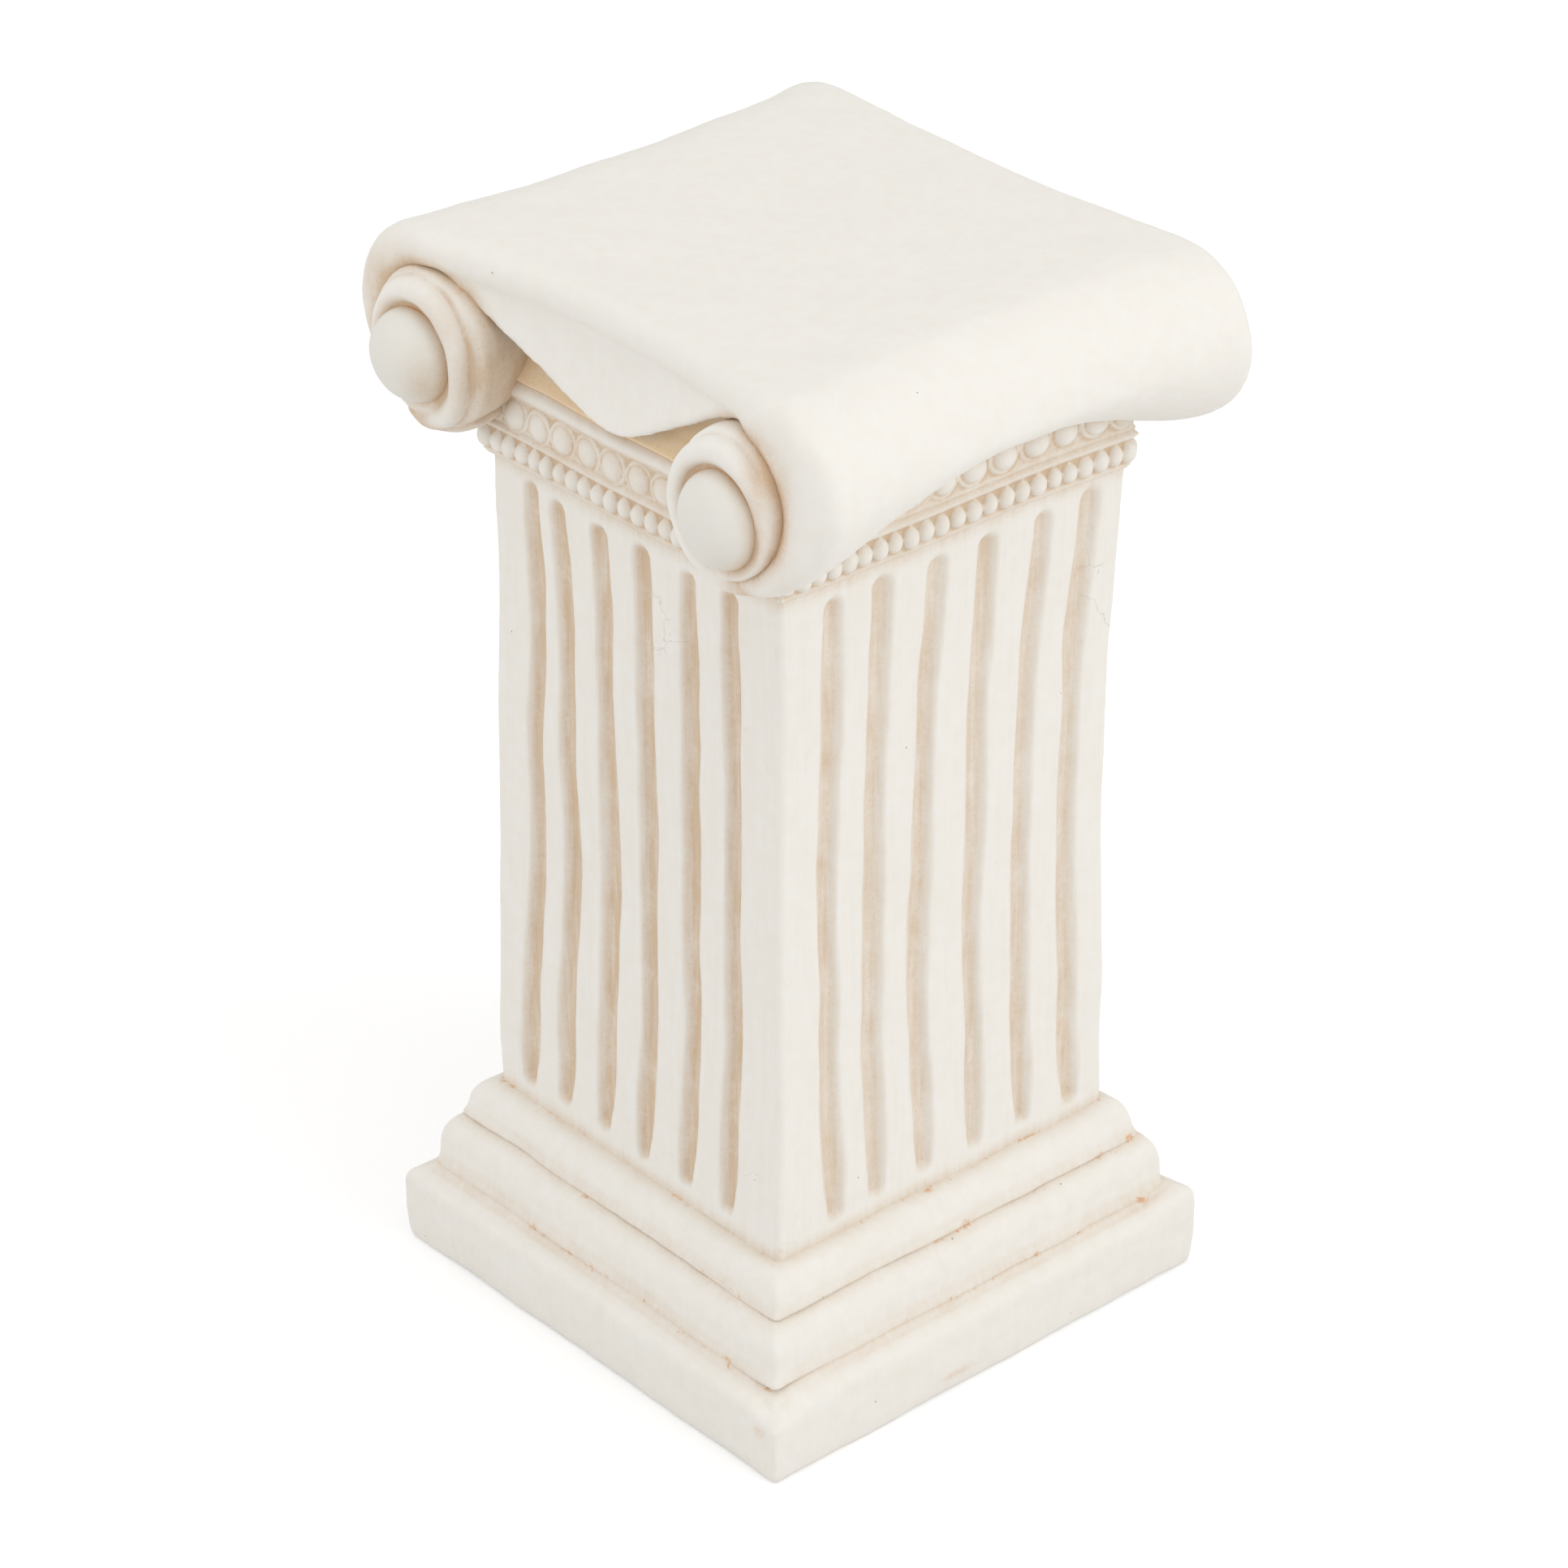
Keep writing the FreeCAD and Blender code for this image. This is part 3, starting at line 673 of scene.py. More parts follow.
def rim_tree():
    """A tapering roll along the loose edges that come with a body, joined to it."""
    tree, given, result = shape_tree("Spiral rim", [("Sides", "Int", 24)])
    lines, body = parted(tree, given, "rim_half")
    path = add_node(tree, "GeometryNodeMeshToCurve", {"Mesh": lines}).outputs["Curve"]
    sized = add_node(tree, "GeometryNodeSetCurveRadius",
                     {"Curve": path, "Radius": named_value(tree, "rim_half")}).outputs["Curve"]
    roll = add_node(tree, "GeometryNodeCurveToMesh", {
        "Curve": sized, "Profile Curve": circle(tree, given["Sides"], 1.0), "Fill Caps": True})
    if "Scale" in roll.inputs:
        feed(tree, named_value(tree, "rim_half"), roll.inputs["Scale"])
    return finish_tree(tree, joined(tree, roll.outputs["Mesh"], body), given, result)


def tree_named(name, maker):
    """A node tree by its name, made the first time that it is asked for."""
    return bpy.data.node_groups.get(name) or maker()


# ---------------------------------------------------------------- materials

def mask_tree(name, inputs, outputs):
    """A shader tree that works on plain values, and the place of a point in it."""
    tree, given, result = new_tree(
        name, "ShaderNodeTree",
        [(key, "Vector" if isinstance(value, tuple) else "Float", value) for key, value in inputs.items()],
        [(key, "Float") for key in outputs])
    return tree, given, result, add_node(tree, "ShaderNodeTexCoord").outputs["Object"]


def noise(tree, place, scale, detail, output="Fac", **more):
    """Noise over a place: how fine, how many octaves, and other inputs by name."""
    node = add_node(tree, "ShaderNodeTexNoise", {"Vector": place, "Scale": scale, "Detail": detail, **more})
    return node.outputs[output]


def ranged(tree, value, low, high, to_low=0.0, to_high=1.0, steps="LINEAR"):
    """A value moved from one range to another and kept within it."""
    node = add_node(tree, "ShaderNodeMapRange", {
        "Value": value, "From Min": low, "From Max": high, "To Min": to_low, "To Max": to_high},
        interpolation_type=steps)
    return node.outputs["Result"]


def stain_and_shade_group():
    """Where wash, residue and some painted shade lie: in hollows, in flutes and along contacts, broken up.
    """
    tree, given, result, place = mask_tree(
        "Stain and painted shade in hollows", {"Hollow": 1.0, "Flute": 1.0, "Contact": 1.0, "Crease": 1.0, "Broken": 0.3,
                             "Everywhere": 0.0}, ("Wash", "Line"))
    hollow, flute, contact, shelter, blemish = [
        add_node(tree, "ShaderNodeAttribute", attribute_name="stain_" + name).outputs["Fac"]
        for name in ("hollow", "flute", "contact", "shelter", "blemish")]
    patch = plus(tree, times(tree, noise(tree, place, 55.0, 5.0), 1.3),
                 times(tree, noise(tree, place, 420.0, 4.0), 0.7))
    low = plus(tree, times(tree, hollow, given["Hollow"]), times(tree, flute, given["Flute"]))
    near = times(tree, maths(tree, "POWER", contact, 1.6), given["Contact"])
    total = plus(tree, low, plus(tree, near, plus(tree, shelter, given["Everywhere"])))
    wash = maths(tree, "MINIMUM", maths(tree, "MAXIMUM", times(tree, total, patch), 0.0), 1.0)
    edge = maths(tree, "MAXIMUM", times(tree, contact, given["Crease"]),
                 times(tree, maths(tree, "POWER", hollow, 2.0), given["Hollow"]))
    gaps = ranged(tree, noise(tree, place, 75.0, 6.0, Roughness=0.7), 0.6, 0.47)
    kept = maths(tree, "SUBTRACT", 1.0, times(tree, given["Broken"], gaps))
    line = ranged(tree, times(tree, edge, kept, patch), 0.76, 1.15, steps="SMOOTHSTEP")
    speck = noise(tree, place, 950.0, 2.0)
    specks = times(tree, ranged(tree, speck, 0.6, 0.74),
                   maths(tree, "MINIMUM", times(tree, total, 0.9), 0.6))
    specks = maths(tree, "MAXIMUM", specks, times(tree, blemish, ranged(tree, speck, 0.38, 0.5)))
    feed(tree, wash, result["Wash"])
    feed(tree, maths(tree, "MAXIMUM", line, specks), result["Line"])
    return tree


def streak_group(name, inputs):
    """Noise drawn out in one direction, as a tone and a height."""
    tree, given, result, place = mask_tree(name, inputs, ("Tone", "Height"))
    scaled = add_node(tree, "ShaderNodeVectorMath", {0: place, 1: given["Stretch"]}, operation="MULTIPLY")
    fibre = noise(tree, scaled.outputs[0], 1.0, given["Detail"], Roughness=given["Roughness"],
                  Distortion=given["Waviness"])
    feed(tree, fibre, result["Tone"])
    feed(tree, fibre, result["Height"])
    return tree


def brush_group():
    """Streaks of a brush, long in one direction."""
    return streak_group("Brush streaks", {
        "Stretch": (330.0, 330.0, 22.0), "Detail": 5.0, "Roughness": 0.6, "Waviness": 0.3})


def grain_group():
    """Wood grain along one axis of the object."""
    return streak_group("Wood grain", {
        "Stretch": (300.0, 300.0, 14.0), "Detail": 6.0, "Roughness": 0.5, "Waviness": 0.6})


def cast_group():
    """Skin of painted plaster: fine grain, soft lumps and pinholes."""
    tree, given, result, place = mask_tree(
        "Cast skin", {"Grain": 1.0, "Lumps": 1.0, "Pinholes": 1.0}, ("Height", "Pinhole", "Tone"))
    lumps = noise(tree, place, 130.0, 4.0)
    cells = add_node(tree, "ShaderNodeTexVoronoi", {"Vector": place, "Scale": 62.0}, feature="F1").outputs
    hole = ranged(tree, cells["Distance"], 0.012, 0.036, 1.0, 0.0, "SMOOTHSTEP")
    pick = add_node(tree, "ShaderNodeSeparateColor", {0: cells["Color"]}).outputs[0]
    pinhole = times(tree, hole, maths(tree, "GREATER_THAN", pick, 0.8), given["Pinholes"])
    height = plus(tree, times(tree, noise(tree, place, 1100.0, 3.0), 0.12, given["Grain"]),
                  times(tree, lumps, 0.9, given["Lumps"]))
    feed(tree, maths(tree, "SUBTRACT", height, times(tree, pinhole, 0.9)), result["Height"])
    feed(tree, pinhole, result["Pinhole"])
    feed(tree, lumps, result["Tone"])
    return tree


def hairline_group():
    """Sparse hairline cracks in the paint."""
    tree, given, result, place = mask_tree("Hairlines", {"Scale": 26.0, "Amount": 1.0}, ("Mask",))
    bend = add_node(tree, "ShaderNodeVectorMath",
                    {0: noise(tree, place, 160.0, 3.0, "Color"), "Scale": 0.012}, operation="SCALE")
    bent = add_node(tree, "ShaderNodeVectorMath", {0: place, 1: bend.outputs[0]}, operation="ADD")
    cells = add_node(tree, "ShaderNodeTexVoronoi", {"Vector": bent.outputs[0], "Scale": given["Scale"]},
                     feature="DISTANCE_TO_EDGE")
    crack = ranged(tree, cells.outputs["Distance"], 0.002, 0.009, 1.0, 0.0)
    some = ranged(tree, noise(tree, place, 19.0, 2.0), 0.65, 0.72)
    feed(tree, times(tree, crack, some, given["Amount"]), result["Mask"])
    return tree


def group_node(tree, name, maker, **values):
    """Outputs of a shader tree of this file, used as one node."""
    return add_node(tree, "ShaderNodeGroup", node_tree=tree_named(name, maker), fed=values).outputs


def mixed_colour(tree, share, first, second):
    """One colour over another; the factor and the two colours are a mix node's inputs 0, 6 and 7."""
    fed = {0: share}
    for socket, value in ((6, first), (7, second)):
        fed[socket] = value if isinstance(value, bpy.types.NodeSocket) else (*value, 1.0)
    return add_node(tree, "ShaderNodeMix", fed, data_type="RGBA").outputs[2]


def new_material(name, specular):
    """A material, its node tree and its shader's inputs."""
    material = bpy.data.materials.new(name)
    material.use_nodes = True
    shader = material.node_tree.nodes["Principled BSDF"].inputs
    shader["Specular IOR Level"].default_value = specular
    return material, material.node_tree, shader


def bumped(tree, shader, height, strength, distance):
    """Lets a height roughen a shader's surface."""
    bump = add_node(tree, "ShaderNodeBump", {"Strength": strength, "Distance": distance, "Height": height})
    feed(tree, bump.outputs["Normal"], shader["Normal"])


def plaster(name):
    """Painted plaster with wash in its hollows, in one of the finishes."""
    return bpy.data.materials.get(name) or new_plaster(name, **FINISHES[name])


def new_plaster(name, warm, streaks, hairlines=0.0, paint="paint", wash="wash", **stains):
    """Plaster from its warmth, streaks, hairlines, two colours and how much lies where."""
    colours = bpy.context.scene.pedestal_colours
    material, tree, shader = new_material(name, 0.22)
    skin = group_node(tree, "Cast skin", cast_group)
    brush = group_node(tree, "Brush streaks", brush_group)
    stain = group_node(tree, "Stain and painted shade in hollows", stain_and_shade_group, **stains)
    cracks = group_node(tree, "Hairlines", hairline_group, Amount=hairlines)
    tone = plus(tree, times(tree, ranged(tree, skin["Tone"], 0.35, 0.7), warm),
                times(tree, ranged(tree, brush["Tone"], 0.4, 0.7), streaks))
    colour = mixed_colour(tree, tone, getattr(colours, paint), colours.paint_warm)
    streaky = times(tree, stain["Wash"],
                    ranged(tree, brush["Tone"], 0.25, 0.62, 1 - 1.2 * streaks, 1 + 0.2 * streaks))
    colour = mixed_colour(tree, streaky, colour, getattr(colours, wash))
    colour = mixed_colour(tree, times(tree, stain["Line"], 0.75), colour, colours.residue)
    marks = maths(tree, "MAXIMUM", skin["Pinhole"], cracks["Mask"])
    # Pinholes and hairlines are darkened: painted shade in the small holes and cracks, with dirt
    colour = mixed_colour(tree, times(tree, marks, 0.75), colour, colours.pinhole_shade_and_dirt)
    feed(tree, colour, shader["Base Color"])
    feed(tree, ranged(tree, skin["Tone"], 0.3, 0.7, 0.62, 0.8), shader["Roughness"])
    relief = plus(tree, skin["Height"], times(tree, brush["Height"], streaks))
    bumped(tree, shader, maths(tree, "SUBTRACT", relief, cracks["Mask"]), 0.35, 0.6 * MM)
    return material


def wood(name, light, dark, stretch, roughness):
    """Bare wood: softwood, plywood or hardwood by its colours and the run of its grain."""
    material, tree, shader = new_material(name, 0.3)
    grain = group_node(tree, "Wood grain", grain_group, Stretch=stretch)
    colour = mixed_colour(tree, ranged(tree, grain["Tone"], 0.35, 0.66), light, dark)
    feed(tree, colour, shader["Base Color"])
    shader["Roughness"].default_value = roughness
    bumped(tree, shader, grain["Height"], 0.4, 0.3 * MM)
    return material


def screw_metal():
    """Zinc-plated steel, dulled in patches."""
    material, tree, shader = new_material("Screw steel", 0.5)
    tone = group_node(tree, "Cast skin", cast_group, Pinholes=0.0)["Tone"]
    colour = mixed_colour(tree, ranged(tree, tone, 0.35, 0.7), (0.58, 0.58, 0.6), (0.38, 0.37, 0.36))
    feed(tree, colour, shader["Base Color"])
    shader["Metallic"].default_value = 1.0
    feed(tree, ranged(tree, tone, 0.3, 0.7, 0.28, 0.5), shader["Roughness"])
    return material


# ---------------------------------------------------------------- pieces

class PEDESTAL_OT_foot(Operator):
    """Plinth and the two mouldings on it, swept round a square."""

    bl_idname = "pedestal.foot"
    bl_label = "Foot"

    def execute(self, context):
        half = PLINTH_HALF + 0.9
        plinth = [(BORE_HALF, LOWER_FOOT), (BORE_HALF, 27.5), (107.7, 27.5), (107.7, 10.2), (113.3, 10.2),
                  (113.3, 0), (half - 1.9, 0), (half - 1.1, 3.5), (half - 0.5, 9), (half - 0.1, 16),
                  (half, 32), (half - 0.9, 35.6), (half - 4, 37.6), (half - 8, 38.9),
                  (LOWER_HALF + 3, LOWER_FOOT + 0.2), (LOWER_HALF - 4, LOWER_FOOT + 0.8)]
        wide = LOWER_HALF + 0.9
        lower_top = UPPER_FOOT - 0.4
        lower = [(BORE_HALF, LOWER_FOOT), (wide - 3, LOWER_FOOT - 1.2), (wide + 2.6, LOWER_FOOT - 0.8),
                 (wide + 1.0, LOWER_FOOT + 1.8), (wide + 0.1, LOWER_FOOT + 5.4),
                 (wide - 0.2, UPPER_FOOT - 12), (wide - 2.0, UPPER_FOOT - 7.2),
                 (wide - 5.6, UPPER_FOOT - 2.8), (UPPER_HALF + 1.4, UPPER_FOOT - 0.2),
                 (UPPER_HALF - 3, lower_top), (BORE_HALF, lower_top)]
        wide = UPPER_HALF + 0.9
        upper_top = SHAFT_FOOT + 0.2
        upper = [(BORE_HALF, UPPER_FOOT - 0.4), (wide - 3, UPPER_FOOT - 1.0),
                 (wide + 3.4, UPPER_FOOT - 0.9), (wide + 1.6, UPPER_FOOT + 1.4),
                 (wide + 0.4, UPPER_FOOT + 4.8), (wide - 0.3, SHAFT_FOOT - 8.6),
                 (wide - 2.4, SHAFT_FOOT - 4.4), (wide - 5.6, SHAFT_FOOT - 1.6),
                 (SHAFT_HALF + 2.6, upper_top), (BORE_HALF, upper_top)]
        for seed, name, node, outline, corner, passes, edge, crown, rise in (
                (11, "plinth_casting", "plinth", plinth, 1.8, 5, half, 37, 5.0),
                (12, "lower_base_moulding", "base_torus_lower", lower, 2.8, 5, LOWER_HALF, UPPER_FOOT, 2.2),
                (13, "upper_base_moulding", "base_torus_upper", upper, 2.6, 4, UPPER_HALF, SHAFT_FOOT, 2.4)):
            points, faces = square_ring(outline, 1.1, passes, corner)
            # The plinth's front right corner hangs low, and each piece's back right corner stands high
            if name == "plinth_casting":
                near = np.hypot(points[:, 0] - half, points[:, 1] + half)
                points[:, 2] -= 6.0 * np.exp(-(near / 18) ** 2) * ease(points[:, 2], 22, 39)
            far = np.hypot(points[:, 0] - edge, points[:, 1] - edge)
            points[:, 2] += rise * np.exp(-(far / 22) ** 2) * ease(points[:, 2], crown - 14, crown - 1)
            piece = new_piece(name, points, faces)
            piece.data.materials.append(plaster("Base plaster"))
            hand_finish(piece, seed, 1.1)
            placed(piece, [node])
        return {"FINISHED"}


def shaft_wall(side):
    """Outer face of one side of the shaft as a closed panel, with the lines of its flutes."""
    corner, columns = 2.8, 165
    flat = SHAFT_HALF - corner
    turn = np.radians(np.linspace(0, 45, 6))[1:]
    right = np.stack([flat + corner * np.sin(turn), -flat - corner * np.cos(turn)], 1)
    along = np.stack([np.linspace(-flat, flat, columns), np.full(columns, -SHAFT_HALF)], 1)
    row = np.concatenate([right[::-1] * (-1, 1), along, right])
    heights = np.concatenate([np.arange(SHAFT_FOOT - 0.6, BEADS_FOOT + 3, 1.9),
                              np.linspace(BEADS_FOOT + 6, NECK_FOOT, 6)])
    count = len(row)
    wall = np.zeros((len(heights), count, 3))
    wall[:, :, :2] = row[None]
    wall[:, :, 2] = heights[:, None]
    wall = wall.reshape(-1, 3)
    faces = quads(len(heights), count)
    last = (len(heights) - 1) * count
    border = (list(range(count)) + [place * count + count - 1 for place in range(1, len(heights))]
              + list(range(last + count - 2, last - 1, -1))
              + [place * count for place in range(len(heights) - 2, 0, -1)])
    inner = wall[border].copy()
    inner[:, 0] *= BORE_HALF / SHAFT_HALF
    inner[:, 1] = -BORE_HALF
    start = len(wall)
    size = len(border)
    for place in range(size):
        after = (place + 1) % size
        faces.append((border[place], border[after], start + after, start + place))
    faces.append(tuple(range(start, start + size)))
    lines, halves, edges = [], [], []
    begin = start + size
    rng = np.random.default_rng(SIDES.index(side) + 60)
    width = bpy.context.scene.pedestal_sizes.flute_width / MM
    for foot, middle, head in FLUTE_PLACES[side]:
        low = SHAFT_FOOT + rng.uniform(6, 9.5) + 4
        high = BEADS_FOOT - rng.uniform(1.5, 4.5) - 6
        climb = np.linspace(low, high, FLUTE_POINTS)
        share = (climb - low) / (high - low)
        across = (foot * (1 - share) * (1 - 2 * share) + middle * 4 * share * (1 - share)
                  + head * share * (2 * share - 1))
        spot = np.stack([across, np.full(FLUTE_POINTS, float(foot)), climb], 1)
        across = across + 0.75 * wander_field(spot, 110, 70) + 0.2 * wander_field(spot, 34, 71)
        half = width / 2 * rng.uniform(0.95, 1.07) * (1 + 0.08 * wander_field(spot, 90, 72)
                                                      + 0.03 * wander_field(spot, 26, 73))
        half *= 0.80 + 0.20 * ease(share, 0.0, 0.05)
        lines.append(np.stack([across, np.full(FLUTE_POINTS, -SHAFT_HALF), climb], 1))
        halves.append(half)
        edges += chain(begin, FLUTE_POINTS)
        begin += FLUTE_POINTS
    points = np.concatenate([wall, inner] + lines)
    halves = np.concatenate([np.zeros(start + size)] + halves) * MM
    return points, faces, edges, halves


def shaft_spread(points):
    """The shaft swells a little over its height, and more towards its foot."""
    foot = 1 - ease(points[:, 2], SHAFT_FOOT - 40, BEADS_FOOT - 60)
    spread = points.copy()
    spread[:, :2] *= (1 + (0.9 + 2.3 * foot) / SHAFT_HALF)[:, None]
    return spread


def head_lean(points):
    """The head of the column leans a little towards its back right corner."""
    corner = ease(points[:, 0] + points[:, 1], 40, 190)
    lean = 3.7 * ease(points[:, 2], 230, 420) * corner
    moved = points.copy()
    moved[:, :2] += lean[:, None]
    return moved


class PEDESTAL_OT_shaft(Operator):
    """Four walls of the shaft, each with its flutes pressed in by Geometry Nodes."""

    bl_idname = "pedestal.shaft"
    bl_label = "Fluted shaft"

    def execute(self, context):
        tree = tree_named("Fluting", fluting_tree)
        for quarters, side in enumerate(SIDES):
            points, faces, edges, halves = shaft_wall(side)
            piece = new_piece("shaft_wall_" + side, points, faces, edges)
            write_mask(piece.data, "flute_half", halves)
            write_mask(piece.data, "flute_press", (halves > 0) * 1.0)
            grow(piece, tree, {"Depth": context.scene.pedestal_sizes.flute_depth, "Floor": 0.22,
                               "Material": plaster("Shaft plaster")})
            settle(piece)
            points = head_lean(quarter_turned(shaft_spread(read_points(piece.data)), quarters))
            # The head of the front left corner is tucked in
            tuck = ease(-points[:, 0] - points[:, 1], 120, 190) * ease(points[:, 2], 290, 370)
            points[:, :2] += 1.5 * tuck[:, None]
            write_points(piece.data, points)
            # Front and left flutes keep their full wash and right and back ones less: painted shade on the
            # faces that get less light, over the real wash
            if side in ("right", "back"):
                write_mask(piece.data, "stain_flute", 0.6 * read_mask(piece.data, "stain_flute"))
            hand_finish(piece, 20, 0.8, passes=10, outward=outward_of_column)
            placed(piece, ["shaft_panel_" + side])
        return {"FINISHED"}


def strip(outline, reach):
    """A strip of one side, mitred at both ends, from a closed section in (out, z)."""
    outline = np.asarray(outline, float)
    shares = np.linspace(-1, 1, 61)
    points = np.zeros((len(shares), len(outline), 3))
    points[:, :, 0] = shares[:, None] * np.minimum(outline[:, 0], reach)[None]
    points[:, :, 1] = -outline[:, 0][None]
    points[:, :, 2] = outline[:, 1][None]
    return tube(points)


def ornament_row(kind, quarters, tree, outline, reach, face, middle, softening, seed, values):
    """One side's strip with its beads or eggs set out on it, melted into one skin."""
    side = SIDES[quarters]
    piece = new_piece(kind + "_row_" + side, *strip(outline, face + 6))
    grow(piece, tree, {
        "Start": Vector((-reach, -face, middle)) * MM, "End": Vector((reach, -face, middle)) * MM,
        "Material": plaster("Ornament plaster"), **values})
    knead(piece, ORNAMENT_GRAIN, softening, plaster("Ornament plaster"))
    write_points(piece.data, head_lean(quarter_turned(read_points(piece.data), quarters)))
    hand_finish(piece, seed + quarters, 0.35, (0.02, 0.30), 14)
    placed(piece, [kind + "_course_" + side])


class PEDESTAL_OT_beads(Operator):
    """Bead rows of the four sides: a strip with a ledge, and beads set out on it."""

    bl_idname = "pedestal.beads"
    bl_label = "Bead rows"

    def execute(self, context):
        sizes = context.scene.pedestal_sizes
        tree = tree_named("Bead row", bead_tree)
        back = SHAFT_HALF - 3
        face = SHAFT_HALF + 2.0
        ledge = SHAFT_HALF + 4.2
        outline = [(back, BEADS_FOOT + 2), (face - 0.8, BEADS_FOOT + 2), (face + 0.1, BEADS_FOOT + 3.4),
                   (face, BEADS_FOOT + 5.4), (face, EGGS_FOOT - 6.2),
                   (ledge - 0.8, EGGS_FOOT - 5.4), (ledge, EGGS_FOOT - 3.8), (ledge - 1.8, EGGS_FOOT - 1.6),
                   (back, EGGS_FOOT + 0.6)]
        middle = (BEADS_FOOT + EGGS_FOOT) / 2 - 0.2
        pitch = 2 * (face + 1.5) / sizes.bead_count
        reach = pitch * (sizes.bead_count - 1) / 2
        for quarters in range(len(SIDES)):
            ornament_row("bead", quarters, tree, outline, reach, face, middle, 2, 30, {
                "Count": sizes.bead_count, "Width": sizes.bead_radius * 2.02,
                "Height": sizes.bead_radius * 2.5, "Stand": sizes.bead_radius * 1.12,
                "Stray": 0.28 * MM, "Seed": 5 + quarters})
        return {"FINISHED"}


class PEDESTAL_OT_eggs(Operator):
    """Egg rows of the four sides: eggs in raised rims, set out on a strip."""

    bl_idname = "pedestal.eggs"
    bl_label = "Egg rows"

    def execute(self, context):
        sizes = context.scene.pedestal_sizes
        tree = tree_named("Egg row", egg_tree)
        back = SHAFT_HALF - 3
        face = SHAFT_HALF + 2.2
        outline = [(back, EGGS_FOOT - 1.5), (face + 0.8, EGGS_FOOT - 2), (face + 0.1, EGGS_FOOT + 1),
                   (face, CAP_FOOT - 3), (face + 1.0, CAP_FOOT + 0.4), (back, CAP_FOOT + 0.4)]
        pitch = 2 * (face + 1.0) / sizes.egg_count
        reach = pitch * (sizes.egg_count - 1) / 2
        for quarters, side in enumerate(SIDES):
            flat = side in ("front", "left")
            middle = (EGGS_FOOT + CAP_FOOT) / 2 + (-2.4 if flat else 1.8)
            ornament_row("egg", quarters, tree, outline, reach, face, middle, 1, 36, {
                "Count": sizes.egg_count, "Width": sizes.egg_width, "Height": sizes.egg_width * 1.06,
                "Stand": (3.4 if flat else 5.0) * MM, "Stray": 0.4 * MM, "Seed": 15 + quarters,
                "Rim": 0.95 * MM, "Gap": 1.2})
        return {"FINISHED"}


class PEDESTAL_OT_neck(Operator):
    """Cap moulding over the eggs, and the block that the capital rests on."""

    bl_idname = "pedestal.neck"
    bl_label = "Neck"

    def execute(self, context):
        out = SHAFT_HALF + 6.3
        cap = [(SHAFT_HALF - 4, CAP_FOOT - 0.3), (out - 2.2, CAP_FOOT - 0.3), (out - 0.4, CAP_FOOT + 2.2),
               (out - 0.1, CAP_FOOT + 4.6), (out - 1.4, CAP_FOOT + 7.0), (out - 4.6, NECK_FOOT),
               (SHAFT_HALF - 4, NECK_FOOT)]
        block = [(54, NECK_FOOT), (NECK_HALF + 9.5, NECK_FOOT - 0.4), (NECK_HALF + 7.5, NECK_FOOT + 2.5),
                 (NECK_HALF + 3.5, NECK_FOOT + 9), (NECK_HALF + 0.8, NECK_FOOT + 18),
                 (NECK_HALF - 0.2, SHEET_UNDER + 0.6), (54, SHEET_UNDER + 0.6)]
        for seed, name, node, outline, corner, passes, finish in (
                (16, "cap_casting", "cap_moulding", cap, 4.5, 3, "Ornament plaster"),
                (17, "neck_casting", "neck_block", block, 5.0, 2, "Neck plaster")):
            piece = new_piece(name, *square_ring(outline, 1.0, passes, corner))
            piece.data.materials.append(plaster(finish))
            write_points(piece.data, head_lean(read_points(piece.data)))
            hand_finish(piece, seed, 0.7)
            placed(piece, [node])
        return {"FINISHED"}


def waist(y):
    """Share of the waist at a place along a scroll: 0 at its ends, 1 a little behind its middle."""
    off = np.where(y < 12, (y - 12) / 130, (y - 12) / 106)
    return np.clip(1 - off ** 2, 0, 1)


def sheet_reach(x, facing):
    """How far the sheet's edge stands from the axis over its plan; the back edge is straighter."""
    corner, sag = (118.0, 13.5) if facing < 0 else (121.8, 4.5)
    return corner - sag * np.clip(1 - (x / 104) ** 2, 0, 1)


def underside(y):
    """Height of the sheet's lowest line under a scroll: an arch, a little higher at the back."""
    span = np.where(np.asarray(y) < -3, 120, 158)
    arch = 0.5 + 0.5 * np.cos(np.pi * np.clip(np.abs(y + 3) / span, 0, 1))
    return 416.5 + 31.5 * arch + 3.0 * ease(np.asarray(y, float), 85, 122)


def roll_size(y):
    """Radius of a scroll at a place along it, from the sheet over it to the lip under it."""
    return (SHEET_UNDER - underside(y) - 1) / 2


def roll_centre(side, y):
    """Middle of a scroll at a place along it, in (out, z); the front ends lean to the left."""
    lean = ease(-np.asarray(y, float), 30, 112)
    return EYE_X - 5.6 * side * lean, underside(y) + 1 + roll_size(y) - side * lean


def wrap_radius(turn):
    """Radius of the crease between scroll and sheet, which winds in towards the eye."""
    return np.interp(turn, [0, 15, 30, 45, 60, 85, 110, 140, 180, 212],
                     [36.2, 34.8, 33.2, 31.2, 29.2, 26.4, 24.6, 23.8, 24.6, 25])


